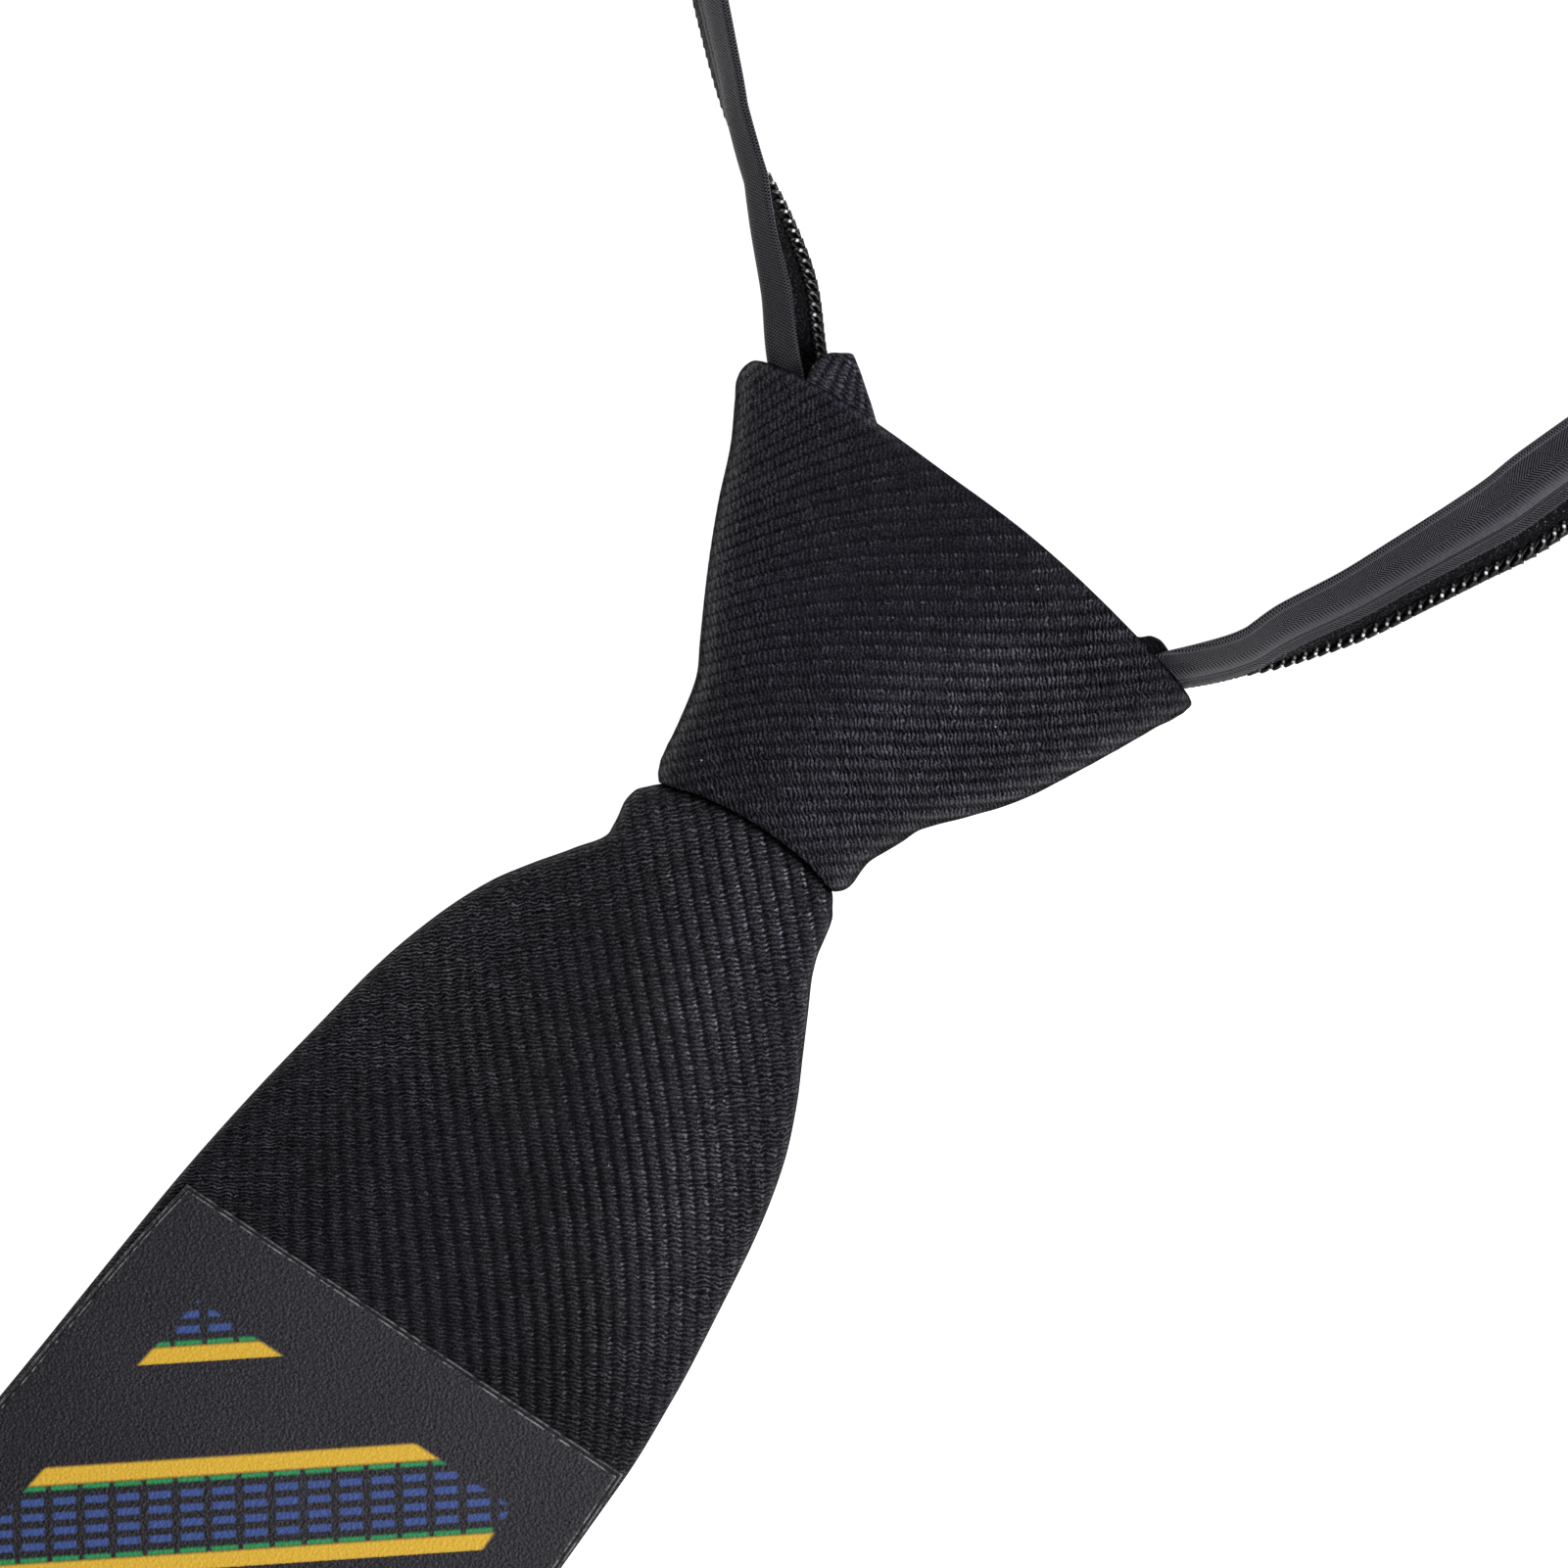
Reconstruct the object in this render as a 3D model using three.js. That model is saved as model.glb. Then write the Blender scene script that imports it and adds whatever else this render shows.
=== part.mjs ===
// A light-up necktie, ready tied, lying on its back with its front up.
// Millimetres. X is to the tie's right, Y runs from the tip towards the neck, Z is up.
// The drawing's zero is the middle of the knot between its two ears; the finished group is
// shifted at the end, so that the part's own zero is the middle of its box on the surface.

import * as THREE from "three";

// Clearance between pieces that touch.
const GAP = 0.3;

// Cloth thickness of the knot's wraps and of the folded blade.
const KNOT_WALL = 1.5;
const INNER_WRAP_WALL = 1.3;
const BLADE_WALL = 1.2;

// The light panel.
const PANEL_THICKNESS = 0.9;
const PANEL_MARGIN = 1.0;

// The hidden stretch of the blade: where it starts, where its sides end and how it grows.
const HIDDEN_TOP = -142;
const HIDDEN_END = -404;
const HIDDEN_ROWS = 6;
const HALF_WIDTH_TOP = 32.4;
const HALF_WIDTH_END = 48;
const MIDDLE_TOP = -0.4;
const MIDDLE_END = -6.4;
const TIP_DEPTH = 48;

// The zip tape of the neck strap, and the row of teeth along one edge of it.
const TAPE_THICKNESS = 1.1;
const TAPE_CHAMFER = 0.3;
const TEETH_RADIUS = 1.0;
const TEETH_SIDES = 6;
const TEETH_WIDTH = 2 * TEETH_RADIUS;

// The round of the neck loop, and the place on it behind the neck.
const LOOP_CENTRE = { x: -16.8, y: 112.6 };
const LOOP_RADIUS = 87.7;
const LOOP_START = -20;
const LOOP_END = 229.5;
const NAPE = (LOOP_START + LOOP_END) / 2;
const TAPE_WIDTH = 11;

// The sleeve that joins both straps behind the neck.
const JOINER_WALL = 1.2;
const JOINER_ARC = 16;
const STRAP_BREAK = 0.4;

// The hidden slider.
const SLIDER_TOP = -18.1;
const SLIDER_LENGTH = 12;
const SLIDER_HALF_TOP = 5;
const SLIDER_HALF_END = 3;
const SLIDER_THICKNESS = 4.5;
const SLIDER_BEVEL = 0.5;

// The knot's sections from its top edge to its mouth. Each runs from a point on the left edge
// to one on the right edge and bows towards the neck by bow; height is its crown above the
// surface, edge the height of its two sides and back how far its back stays behind its front.
const KNOT_ROWS = [
  { left: [-30.1, 3.3], right: [31.0, 0.3], bow: 2.6, height: 16.0, edge: 4.2, back: 5.0 },
  { left: [-31.7, 2.2], right: [32.2, -0.7], bow: 2.3, height: 16.6, edge: 4.4, back: 4.2 },
  { left: [-31.9, 0.4], right: [32.2, -2.2], bow: 1.9, height: 17.0, edge: 4.6, back: 3.0 },
  { left: [-30.6, -2.4], right: [31.0, -5.0], bow: 1.5, height: 17.5, edge: 4.8, back: 1.6 },
  { left: [-27.9, -7.2], right: [29.0, -9.4], bow: 1.0, height: 18.0, edge: 5.0, back: 0 },
  { left: [-25.3, -13.2], right: [26.4, -14.8], bow: 0.6, height: 18.2, edge: 5.0, back: 0 },
  { left: [-21.6, -20.6], right: [23.2, -20.9], bow: 0.4, height: 17.8, edge: 5.0, back: 0 },
  { left: [-17.7, -27.6], right: [19.0, -26.5], bow: 0.4, height: 16.6, edge: 4.8, back: 0 },
  { left: [-15.4, -31.6], right: [14.9, -31.4], bow: 0.5, height: 15.6, edge: 4.6, back: 0 },
  { left: [-13.8, -36.6], right: [13.0, -36.2], bow: 0.8, height: 14.6, edge: 4.4, back: 0 },
  { left: [-12.9, -41.2], right: [12.2, -40.6], bow: 1.1, height: 13.8, edge: 4.2, back: 0 },
  { left: [-11.9, -43.4], right: [11.3, -42.0], bow: 1.3, height: 13.2, edge: 4.0, back: 0 },
];
const KNOT_POINTS = 36;
const KNOT_SQUARENESS = 3.0;
const KNOT_BACK_FLAT = 0.5;

// The inner wrap's upper edge from the left ear to the right; it ends inside the knot.
const INNER_WRAP_END = -9;
const INNER_WRAP_TAPER = 0.88;
const INNER_WRAP_ROWS = [
  { x: -25.4, top: 5.6 },
  { x: -24.7, top: 7.9 },
  { x: -23.3, top: 9.2 },
  { x: -22.2, top: 9.2 },
  { x: -20.8, top: 8.1 },
  { x: -17.7, top: 6.1 },
  { x: -14.0, top: 3.6 },
  { x: -7.0, top: 2.4 },
  { x: 0.0, top: 2.2 },
  { x: 8.0, top: 1.8 },
  { x: 16.0, top: 1.4 },
  { x: 21.5, top: 1.8 },
  { x: 23.4, top: 2.6 },
  { x: 25.0, top: 3.0 },
  { x: 26.0, top: 2.6 },
];

// The blade's sections from inside the knot down to the hidden stretch. thick is its height at
// the sides, crown what its middle adds, and lift its own height above the surface.
const BLADE_ROWS = [
  { left: [-9.4, -34.0], right: [8.8, -34.0], thick: 7.6, crown: 0.8, lift: 1.8 },
  { left: [-9.6, -43.2], right: [9.0, -41.8], thick: 7.8, crown: 0.8, lift: 1.8 },
  { left: [-12.3, -44.8], right: [11.8, -43.5], thick: 7.9, crown: 0.9, lift: 1.8 },
  { left: [-13.9, -46.2], right: [13.0, -45.0], thick: 7.8, crown: 1.0, lift: 1.7 },
  { left: [-13.9, -48.6], right: [13.9, -48.4], thick: 7.5, crown: 1.1, lift: 1.5 },
  { left: [-13.4, -51.4], right: [15.2, -51.4], thick: 7.2, crown: 1.2, lift: 1.3 },
  { left: [-15.7, -55.4], right: [17.4, -55.4], thick: 6.8, crown: 1.3, lift: 1.0 },
  { left: [-18.6, -59.6], right: [19.8, -59.8], thick: 6.4, crown: 1.4, lift: 0.7 },
  { left: [-21.4, -64.2], right: [22.4, -64.6], thick: 6.0, crown: 1.4, lift: 0.4 },
  { left: [-24.2, -71.2], right: [25.2, -71.2], thick: 5.6, crown: 1.3, lift: 0.1 },
  { left: [-26.4, -79.5], right: [27.3, -79.2], thick: 5.2, crown: 1.2, lift: 0 },
  { left: [-28.0, -89.5], right: [29.0, -89.5], thick: 4.8, crown: 1.0, lift: 0 },
  { left: [-29.6, -100.5], right: [30.5, -100.5], thick: 4.5, crown: 0.8, lift: 0 },
  { left: [-30.9, -112.5], right: [31.3, -112.0], thick: 4.4, crown: 0.6, lift: 0 },
  { left: [-31.7, -124.0], right: [31.3, -124.0], thick: 4.4, crown: 0.6, lift: 0 },
  { left: [-32.8, HIDDEN_TOP], right: [32.0, HIDDEN_TOP], thick: 4.4, crown: 0.6, lift: 0 },
];
const BLADE_FRONT_POINTS = 9;
const FOLD_POINTS = 4;
const FLAP_OVERLAP = 0.18;

// The panel's visible corners; below them its edges keep PANEL_MARGIN from the blade's.
const PANEL_ROWS = [
  { left: [-29.5, -112.8], right: [30.8, -110.9] },
  { left: [-30.6, -121.5], right: [31.0, -121.5] },
  { left: [-31.9, -137.0], right: [31.2, -137.0] },
];
const PANEL_POINTS = 9;

// The middle line of each strap as seen from above, from its end in the knot outwards. base is
// the height of its lowest point, tilt how far it stands up from lying flat (the toothed edge
// stays low), and width its own width, teeth included.
const LEFT_ROUTE = [
  { x: -4.2, y: -16.4, base: 1.9, tilt: 20, width: 7.4 },
  { x: -14.0, y: -7.4, base: 1.9, tilt: 24, width: 7.4 },
  { x: -21.0, y: 0.8, base: 1.9, tilt: 30, width: 7.4 },
  { x: -25.8, y: 5.9, base: 1.8, tilt: 33, width: 7.6 },
  { x: -33.2, y: 11.4, base: 0.8, tilt: 54, width: 9.2 },
  { x: -38.9, y: 16.6, base: 0.2, tilt: 70, width: 10.4 },
  { x: -45.0, y: 21.4, base: 0, tilt: 88, width: TAPE_WIDTH },
  { x: -53.4, y: 28.4, base: 0, tilt: 106, width: TAPE_WIDTH },
  { x: -59.0, y: 33.3, base: 0, tilt: 110, width: TAPE_WIDTH },
];
const RIGHT_ROUTE = [
  { x: 4.2, y: -16.4, base: 1.9, tilt: 20, width: 7.4 },
  { x: 14.0, y: -9.6, base: 1.9, tilt: 30, width: 7.4 },
  { x: 22.6, y: -3.8, base: 1.9, tilt: 44, width: 7.6 },
  { x: 27.2, y: 0.9, base: 1.8, tilt: 54, width: 7.9 },
  { x: 33.0, y: 6.8, base: 1.2, tilt: 54, width: 8.5 },
  { x: 37.1, y: 12.5, base: 0.7, tilt: 51, width: 9.2 },
  { x: 41.0, y: 19.8, base: 0.3, tilt: 45, width: 9.7 },
  { x: 44.7, y: 26.9, base: 0, tilt: 41, width: 10.2 },
  { x: 47.8, y: 33.4, base: 0, tilt: 35, width: 10.7 },
  { x: 49.8, y: 38.6, base: 0, tilt: 22, width: TAPE_WIDTH },
  { x: 51.6, y: 43.6, base: 0, tilt: 12, width: TAPE_WIDTH },
  { x: 58.4, y: 62.8, base: 0, tilt: 20, width: TAPE_WIDTH },
];
// The round of the loop: where along it a point lies (0 at its start, 1 behind the neck), and
// the tilt of either strap there.
const ROUND_ROWS = [
  { along: 0.0, leftTilt: 106, rightTilt: 34, base: 0 },
  { along: 0.2, leftTilt: 100, rightTilt: 52, base: 0 },
  { along: 0.4, leftTilt: 96, rightTilt: 68, base: 0 },
  { along: 0.6, leftTilt: 93, rightTilt: 80, base: 0 },
  { along: 0.8, leftTilt: 90, rightTilt: 88, base: 0.6 },
  { along: 0.9, leftTilt: 90, rightTilt: 90, base: JOINER_WALL + GAP },
  { along: 1.0, leftTilt: 90, rightTilt: 90, base: JOINER_WALL + GAP },
];
const STEPS_PER_ROW = 3;

const radians = THREE.MathUtils.degToRad;
const mix = THREE.MathUtils.lerp;

// Closed solid through rings of equally many points. An endless one joins its last ring to its
// first; otherwise the two ends are closed with the flat outlines that are given for them.
function loft(rings, outlines = null) {
  const count = rings[0].length;
  const spans = outlines ? rings.length - 1 : rings.length;
  const faces = [];
  for (let ring = 0; ring < spans; ring += 1) {
    const near = ring * count;
    const far = ((ring + 1) % rings.length) * count;
    for (let i = 0; i < count; i += 1) {
      const next = (i + 1) % count;
      faces.push([near + i, near + next, far + next], [near + i, far + next, far + i]);
    }
  }
  if (outlines) {
    const last = (rings.length - 1) * count;
    faces.push(...closeEnd(outlines[0], 0, true));
    faces.push(...closeEnd(outlines[1], last, false));
  }
  return solid(rings.flat(), faces);
}

// Triangles across a flat outline, in the outline's own order or against it.
function closeEnd(outline, first, against) {
  const turn = Math.sign(THREE.ShapeUtils.area(outline));
  return THREE.ShapeUtils.triangulateShape(outline, []).map(([a, b, c]) => {
    const same = Math.sign(THREE.ShapeUtils.area([outline[a], outline[b], outline[c]])) === turn;
    const ordered = same === against ? [a, c, b] : [a, b, c];
    return ordered.map((index) => first + index);
  });
}

// Geometry from points and faces, turned so that the faces look outwards.
function solid(points, faces) {
  const volume = faces.reduce((sum, [a, b, c]) => {
    const across = new THREE.Vector3().crossVectors(points[b], points[c]);
    return sum + points[a].dot(across);
  }, 0);
  const outward = volume > 0 ? faces : faces.map(([a, b, c]) => [a, c, b]);
  const geometry = new THREE.BufferGeometry();
  const numbers = points.flatMap((point) => [point.x, point.y, point.z]);
  geometry.setAttribute("position", new THREE.Float32BufferAttribute(numbers, 3));
  geometry.setIndex(outward.flat());
  geometry.computeVertexNormals();
  return geometry;
}

// Height of a rounded section's front over its place across, from -1 to 1.
function crownShare(across) {
  return (1 - Math.abs(across) ** KNOT_SQUARENESS) ** (1 / KNOT_SQUARENESS);
}

// How far towards the neck a row of the knot lies, at a place across it from -1 to 1.
function rowPlace(row, across) {
  return mix(row.left[1], row.right[1], (across + 1) / 2) + row.bow * (1 - across * across);
}

// One ring of the knot, set inwards by inset on every side.
function knotRing(row, inset) {
  const ring = [];
  for (let i = 0; i < KNOT_POINTS; i += 1) {
    const angle = (2 * Math.PI * i) / KNOT_POINTS;
    const across = Math.sign(Math.cos(angle)) * Math.abs(Math.cos(angle)) ** (2 / KNOT_SQUARENESS);
    const share = (across + 1) / 2;
    const x = mix(row.left[0] + inset, row.right[0] - inset, share);
    const behind = THREE.MathUtils.clamp(-Math.sin(angle) / KNOT_BACK_FLAT, 0, 1);
    const y = rowPlace(row, across) - row.back * behind;
    const front = mix(row.edge, row.height - inset, crownShare(across));
    ring.push(new THREE.Vector3(x, y, behind > 0 ? mix(row.edge, inset, behind) : front));
  }
  return ring;
}

// A sleeve, open at its top and at its mouth.
function knotWrap() {
  const outside = KNOT_ROWS.map((row) => knotRing(row, 0));
  const inside = KNOT_ROWS.map((row) => knotRing(row, KNOT_WALL)).reverse();
  return loft([...outside, ...inside]);
}

// Height of the inside of the knot's front over a point of the drawing.
function knotCeiling(x, y) {
  const acrossOf = (row) => {
    const half = (row.right[0] - row.left[0]) / 2 - KNOT_WALL;
    return THREE.MathUtils.clamp((x - (row.left[0] + row.right[0]) / 2) / half, -1, 1);
  };
  const placeOf = (row) => rowPlace(row, acrossOf(row));
  const heightOf = (row) => mix(row.edge, row.height - KNOT_WALL, crownShare(acrossOf(row)));
  const found = KNOT_ROWS.findIndex((row) => placeOf(row) <= y);
  const below = Math.max(found, 1);
  const [upper, lower] = [KNOT_ROWS[below - 1], KNOT_ROWS[below]];
  const share = (y - placeOf(upper)) / (placeOf(lower) - placeOf(upper));
  return mix(heightOf(upper), heightOf(lower), THREE.MathUtils.clamp(share, 0, 1));
}

// A sheet that follows the inside of the knot's front and stands out above its top edge.
function knotInnerWrap() {
  const slack = 4 * GAP;
  const depths = [0, 0.25, 0.5, 0.75, 1];
  const sections = INNER_WRAP_ROWS.map(({ x, top }) => {
    const front = depths.map((depth) => {
      const y = mix(top, INNER_WRAP_END, depth);
      const inside = x * mix(1, INNER_WRAP_TAPER, depth);
      return new THREE.Vector3(inside, y, knotCeiling(inside, y) - slack);
    });
    const drop = new THREE.Vector3(0, 0, -INNER_WRAP_WALL);
    const back = front.map((point) => point.clone().add(drop)).reverse();
    return [...front, ...back];
  });
  const flat = (section) => section.map((point) => new THREE.Vector2(point.y, point.z));
  return loft(sections, [flat(sections[0]), flat(sections.at(-1))]);
}

// The blade's rows in the hidden stretch, whose lower edge turns into the pointed tip.
function hiddenRows() {
  const rows = [];
  for (let i = 1; i <= HIDDEN_ROWS; i += 1) {
    const share = i / HIDDEN_ROWS;
    const middle = mix(MIDDLE_TOP, MIDDLE_END, share);
    const half = mix(HALF_WIDTH_TOP, HALF_WIDTH_END, share);
    const y = mix(HIDDEN_TOP, HIDDEN_END, share);
    const tip = TIP_DEPTH * share * share;
    const left = [middle - half, y];
    const right = [middle + half, y];
    rows.push({ left, right, thick: 4.4, crown: 0.6, lift: 0, tip });
  }
  return rows;
}

// Outline of a strip of cloth of the given thickness along a bent line.
function stripOutline(line, thickness) {
  const sides = [[], []];
  line.forEach((point, i) => {
    const before = line[Math.max(i - 1, 0)];
    const after = line[Math.min(i + 1, line.length - 1)];
    const along = new THREE.Vector2().subVectors(after, before).normalize();
    const across = new THREE.Vector2(-along.y, along.x).multiplyScalar(thickness / 2);
    sides[0].push(point.clone().add(across));
    sides[1].unshift(point.clone().sub(across));
  });
  return [...sides[0], ...sides[1]];
}

// Section of the folded blade: the front, a fold at each side and two flaps that overlap
// behind. x runs from -half to half, y from the back up.
function bladeOutline(half, thick, crown) {
  const overlap = FLAP_OVERLAP * half;
  const low = BLADE_WALL / 2;
  const raised = low + BLADE_WALL + GAP;
  const radius = (thick - BLADE_WALL) / 2;
  const shoulder = half - low - radius;
  const line = [
    new THREE.Vector2(-overlap, raised),
    new THREE.Vector2(0, raised),
    new THREE.Vector2(overlap, raised),
    new THREE.Vector2(Math.min(1.9 * overlap, shoulder - 0.6), low),
  ];
  for (let i = 0; i <= FOLD_POINTS; i += 1) {
    const angle = Math.PI * (i / FOLD_POINTS - 0.5);
    const x = shoulder + radius * Math.cos(angle);
    line.push(new THREE.Vector2(x, low + radius * (1 + Math.sin(angle))));
  }
  for (let i = 1; i < BLADE_FRONT_POINTS; i += 1) {
    const across = 1 - (2 * i) / BLADE_FRONT_POINTS;
    const height = thick - low + crown * (1 - across * across);
    line.push(new THREE.Vector2(across * shoulder, height));
  }
  for (let i = FOLD_POINTS; i >= 0; i -= 1) {
    const angle = Math.PI * (i / FOLD_POINTS - 0.5);
    const x = -shoulder - radius * Math.cos(angle);
    line.push(new THREE.Vector2(x, low + radius * (1 + Math.sin(angle))));
  }
  line.push(new THREE.Vector2(-overlap, low), new THREE.Vector2(overlap, low));
  return stripOutline(line, BLADE_WALL);
}

// A point of a row of the blade, for a place across it and a height above its back.
function bladePoint(row, x, height) {
  const half = (row.right[0] - row.left[0]) / 2;
  const across = x / half;
  const share = (across + 1) / 2;
  const y = mix(row.left[1], row.right[1], share) - (row.tip ?? 0) * (1 - Math.abs(across));
  const middle = (row.left[0] + row.right[0]) / 2;
  return new THREE.Vector3(middle + x, y, row.lift + height);
}

function blade() {
  const rows = [...BLADE_ROWS, ...hiddenRows()];
  const outlines = rows.map((row) => {
    const half = (row.right[0] - row.left[0]) / 2;
    return bladeOutline(half, row.thick, row.crown);
  });
  const rings = rows.map((row, i) => outlines[i].map(({ x, y }) => bladePoint(row, x, y)));
  return loft(rings, [outlines[0], outlines.at(-1)]);
}

// A thin sheet over the front of the blade.
function lightPanel() {
  const edged = hiddenRows().map((row, i, all) => {
    const left = [row.left[0] + PANEL_MARGIN, row.left[1]];
    const right = [row.right[0] - PANEL_MARGIN, row.right[1]];
    const last = i === all.length - 1;
    return { left, right, tip: row.tip, short: last ? PANEL_MARGIN : 0 };
  });
  const front = BLADE_ROWS.at(-1).thick + GAP;
  const { crown } = BLADE_ROWS.at(-1);
  const sections = [...PANEL_ROWS, ...edged].map((row) => {
    const upper = [];
    for (let i = 0; i < PANEL_POINTS; i += 1) {
      const across = (2 * i) / (PANEL_POINTS - 1) - 1;
      const share = (across + 1) / 2;
      const x = mix(row.left[0], row.right[0], share);
      const drop = (row.tip ?? 0) * (1 - Math.abs(across));
      const y = mix(row.left[1], row.right[1], share) - drop + 1.4 * (row.short ?? 0);
      upper.push(new THREE.Vector3(x, y, front + crown * (1 - across * across)));
    }
    const rise = new THREE.Vector3(0, 0, PANEL_THICKNESS);
    const top = upper.map((point) => point.clone().add(rise)).reverse();
    return [...upper, ...top];
  });
  const flat = (section) => section.map((point) => new THREE.Vector2(point.x, point.z));
  return loft(sections, [flat(sections[0]), flat(sections.at(-1))]);
}

// A place on the round of the loop.
function onRound(degrees, radius = LOOP_RADIUS) {
  const angle = radians(degrees);
  const x = LOOP_CENTRE.x + radius * Math.cos(angle);
  const y = LOOP_CENTRE.y + radius * Math.sin(angle);
  return { x, y };
}

// The whole route of one strap: from the knot, along the loop, to just short of the nape.
function wholeRoute(side) {
  const left = side === "left";
  const from = left ? LOOP_END : LOOP_START;
  const shortBy = (left ? 1 : -1) * THREE.MathUtils.radToDeg(STRAP_BREAK / LOOP_RADIUS);
  const round = ROUND_ROWS.map((row) => {
    const place = onRound(mix(from, NAPE + shortBy, row.along));
    const tilt = left ? row.leftTilt : row.rightTilt;
    return { ...place, base: row.base, tilt, width: TAPE_WIDTH };
  });
  return [...(left ? LEFT_ROUTE : RIGHT_ROUTE), ...round];
}

// Sweeps a section along a strap. A section's points are (across the tape from its toothed
// edge, out of the tape's face).
function alongStrap(side, sectionAt) {
  const route = wholeRoute(side);
  const places = route.map(({ x, y, base }) => new THREE.Vector3(x, y, base));
  const turns = route.map(({ tilt, width }) => new THREE.Vector3(tilt, width, 0));
  const middle = new THREE.CatmullRomCurve3(places, false, "centripetal");
  const twist = new THREE.CatmullRomCurve3(turns, false, "centripetal");
  const steps = (route.length - 1) * STEPS_PER_ROW;
  const outlines = [];
  const rings = [];
  for (let step = 0; step <= steps; step += 1) {
    const at = step / steps;
    const place = middle.getPoint(at);
    const { x: tilt, y: width } = twist.getPoint(at);
    const ahead = middle.getTangent(at).setZ(0).normalize();
    // From the toothed edge to the plain one: outwards on the left strap, inwards on the right.
    const level = new THREE.Vector3(-ahead.y, ahead.x, 0);
    const up = new THREE.Vector3(0, 0, 1);
    const lean = radians(tilt);
    const across = level.clone().multiplyScalar(Math.cos(lean)).addScaledVector(up, Math.sin(lean));
    const out = level.clone().multiplyScalar(-Math.sin(lean)).addScaledVector(up, Math.cos(lean));
    const height = place.z + TEETH_RADIUS * (1 - Math.sin(lean));
    const inset = (-Math.cos(lean) * width) / 2;
    const edge = place.clone().setZ(height).addScaledVector(level, inset);
    const outline = sectionAt(width);
    outlines.push(outline);
    rings.push(outline.map(({ x, y }) => (
      edge.clone().addScaledVector(across, x).addScaledVector(out, y)
    )));
  }
  return loft(rings, [outlines[0], outlines.at(-1)]);
}

function tapeOutline(width) {
  const low = TEETH_WIDTH + GAP;
  const half = TAPE_THICKNESS / 2;
  const flat = half - TAPE_CHAMFER;
  return [
    new THREE.Vector2(low, -half),
    new THREE.Vector2(width - TAPE_CHAMFER, -half),
    new THREE.Vector2(width, -flat),
    new THREE.Vector2(width, flat),
    new THREE.Vector2(width - TAPE_CHAMFER, half),
    new THREE.Vector2(low, half),
  ];
}

function teethOutline() {
  const outline = [];
  for (let i = 0; i < TEETH_SIDES; i += 1) {
    const angle = (2 * Math.PI * (i + 0.5)) / TEETH_SIDES;
    const x = TEETH_RADIUS * (1 + Math.cos(angle));
    outline.push(new THREE.Vector2(x, TEETH_RADIUS * Math.sin(angle)));
  }
  return outline;
}

// A sleeve of flat section round both strap ends.
function strapJoiner() {
  const steps = 4;
  const inner = TEETH_RADIUS + 2 * GAP;
  const ring = (degrees, wall) => {
    const corners = [
      [-inner - wall, JOINER_WALL - wall],
      [inner + wall, JOINER_WALL - wall],
      [inner + wall, JOINER_WALL + TAPE_WIDTH + 2 * GAP + wall],
      [-inner - wall, JOINER_WALL + TAPE_WIDTH + 2 * GAP + wall],
    ];
    return corners.map(([out, height]) => {
      const { x, y } = onRound(degrees, LOOP_RADIUS + out);
      return new THREE.Vector3(x, y, height);
    });
  };
  const angles = Array.from({ length: steps + 1 }, (_, i) => NAPE + JOINER_ARC * (i / steps - 0.5));
  const outside = angles.map((angle) => ring(angle, JOINER_WALL));
  const inside = angles.map((angle) => ring(angle, 0)).reverse();
  return loft([...outside, ...inside]);
}

function zipSlider() {
  const shape = new THREE.Shape([
    new THREE.Vector2(-SLIDER_HALF_TOP, SLIDER_TOP),
    new THREE.Vector2(-SLIDER_HALF_END, SLIDER_TOP - SLIDER_LENGTH),
    new THREE.Vector2(SLIDER_HALF_END, SLIDER_TOP - SLIDER_LENGTH),
    new THREE.Vector2(SLIDER_HALF_TOP, SLIDER_TOP),
  ]);
  const depth = SLIDER_THICKNESS - 2 * SLIDER_BEVEL;
  const geometry = new THREE.ExtrudeGeometry(shape, {
    depth,
    bevelSize: SLIDER_BEVEL,
    bevelOffset: -SLIDER_BEVEL,
    bevelThickness: SLIDER_BEVEL,
    bevelSegments: 1,
  });
  geometry.translate(0, 0, KNOT_WALL + GAP + SLIDER_BEVEL);
  return geometry;
}

const cloth = { color: 0x1d1d20, roughness: 0.85, metalness: 0 };
const tape = { color: 0x202023, roughness: 0.8, metalness: 0 };
const teeth = { color: 0x0f0f11, roughness: 0.3, metalness: 0 };
const panel = { color: 0x37343a, roughness: 0.6, metalness: 0 };
const slider = { color: 0x2a2a2c, roughness: 0.4, metalness: 0.6 };

const PIECES = [
  ["knot_wrap", knotWrap(), cloth],
  ["knot_inner_wrap", knotInnerWrap(), cloth],
  ["blade", blade(), cloth],
  ["light_panel", lightPanel(), panel],
  ["strap_left", alongStrap("left", tapeOutline), tape],
  ["strap_right", alongStrap("right", tapeOutline), tape],
  ["zipper_coil_left", alongStrap("left", teethOutline), teeth],
  ["zipper_coil_right", alongStrap("right", teethOutline), teeth],
  ["strap_joiner", strapJoiner(), tape],
  ["zip_slider", zipSlider(), slider],
];

const necktie = new THREE.Group();
for (const [name, geometry, finish] of PIECES) {
  const mesh = new THREE.Mesh(geometry, new THREE.MeshStandardMaterial(finish));
  mesh.name = name;
  necktie.add(mesh);
}

const middle = new THREE.Box3().setFromObject(necktie).getCenter(new THREE.Vector3());
necktie.position.set(-middle.x, -middle.y, 0);

export default necktie;
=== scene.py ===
import math

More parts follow.
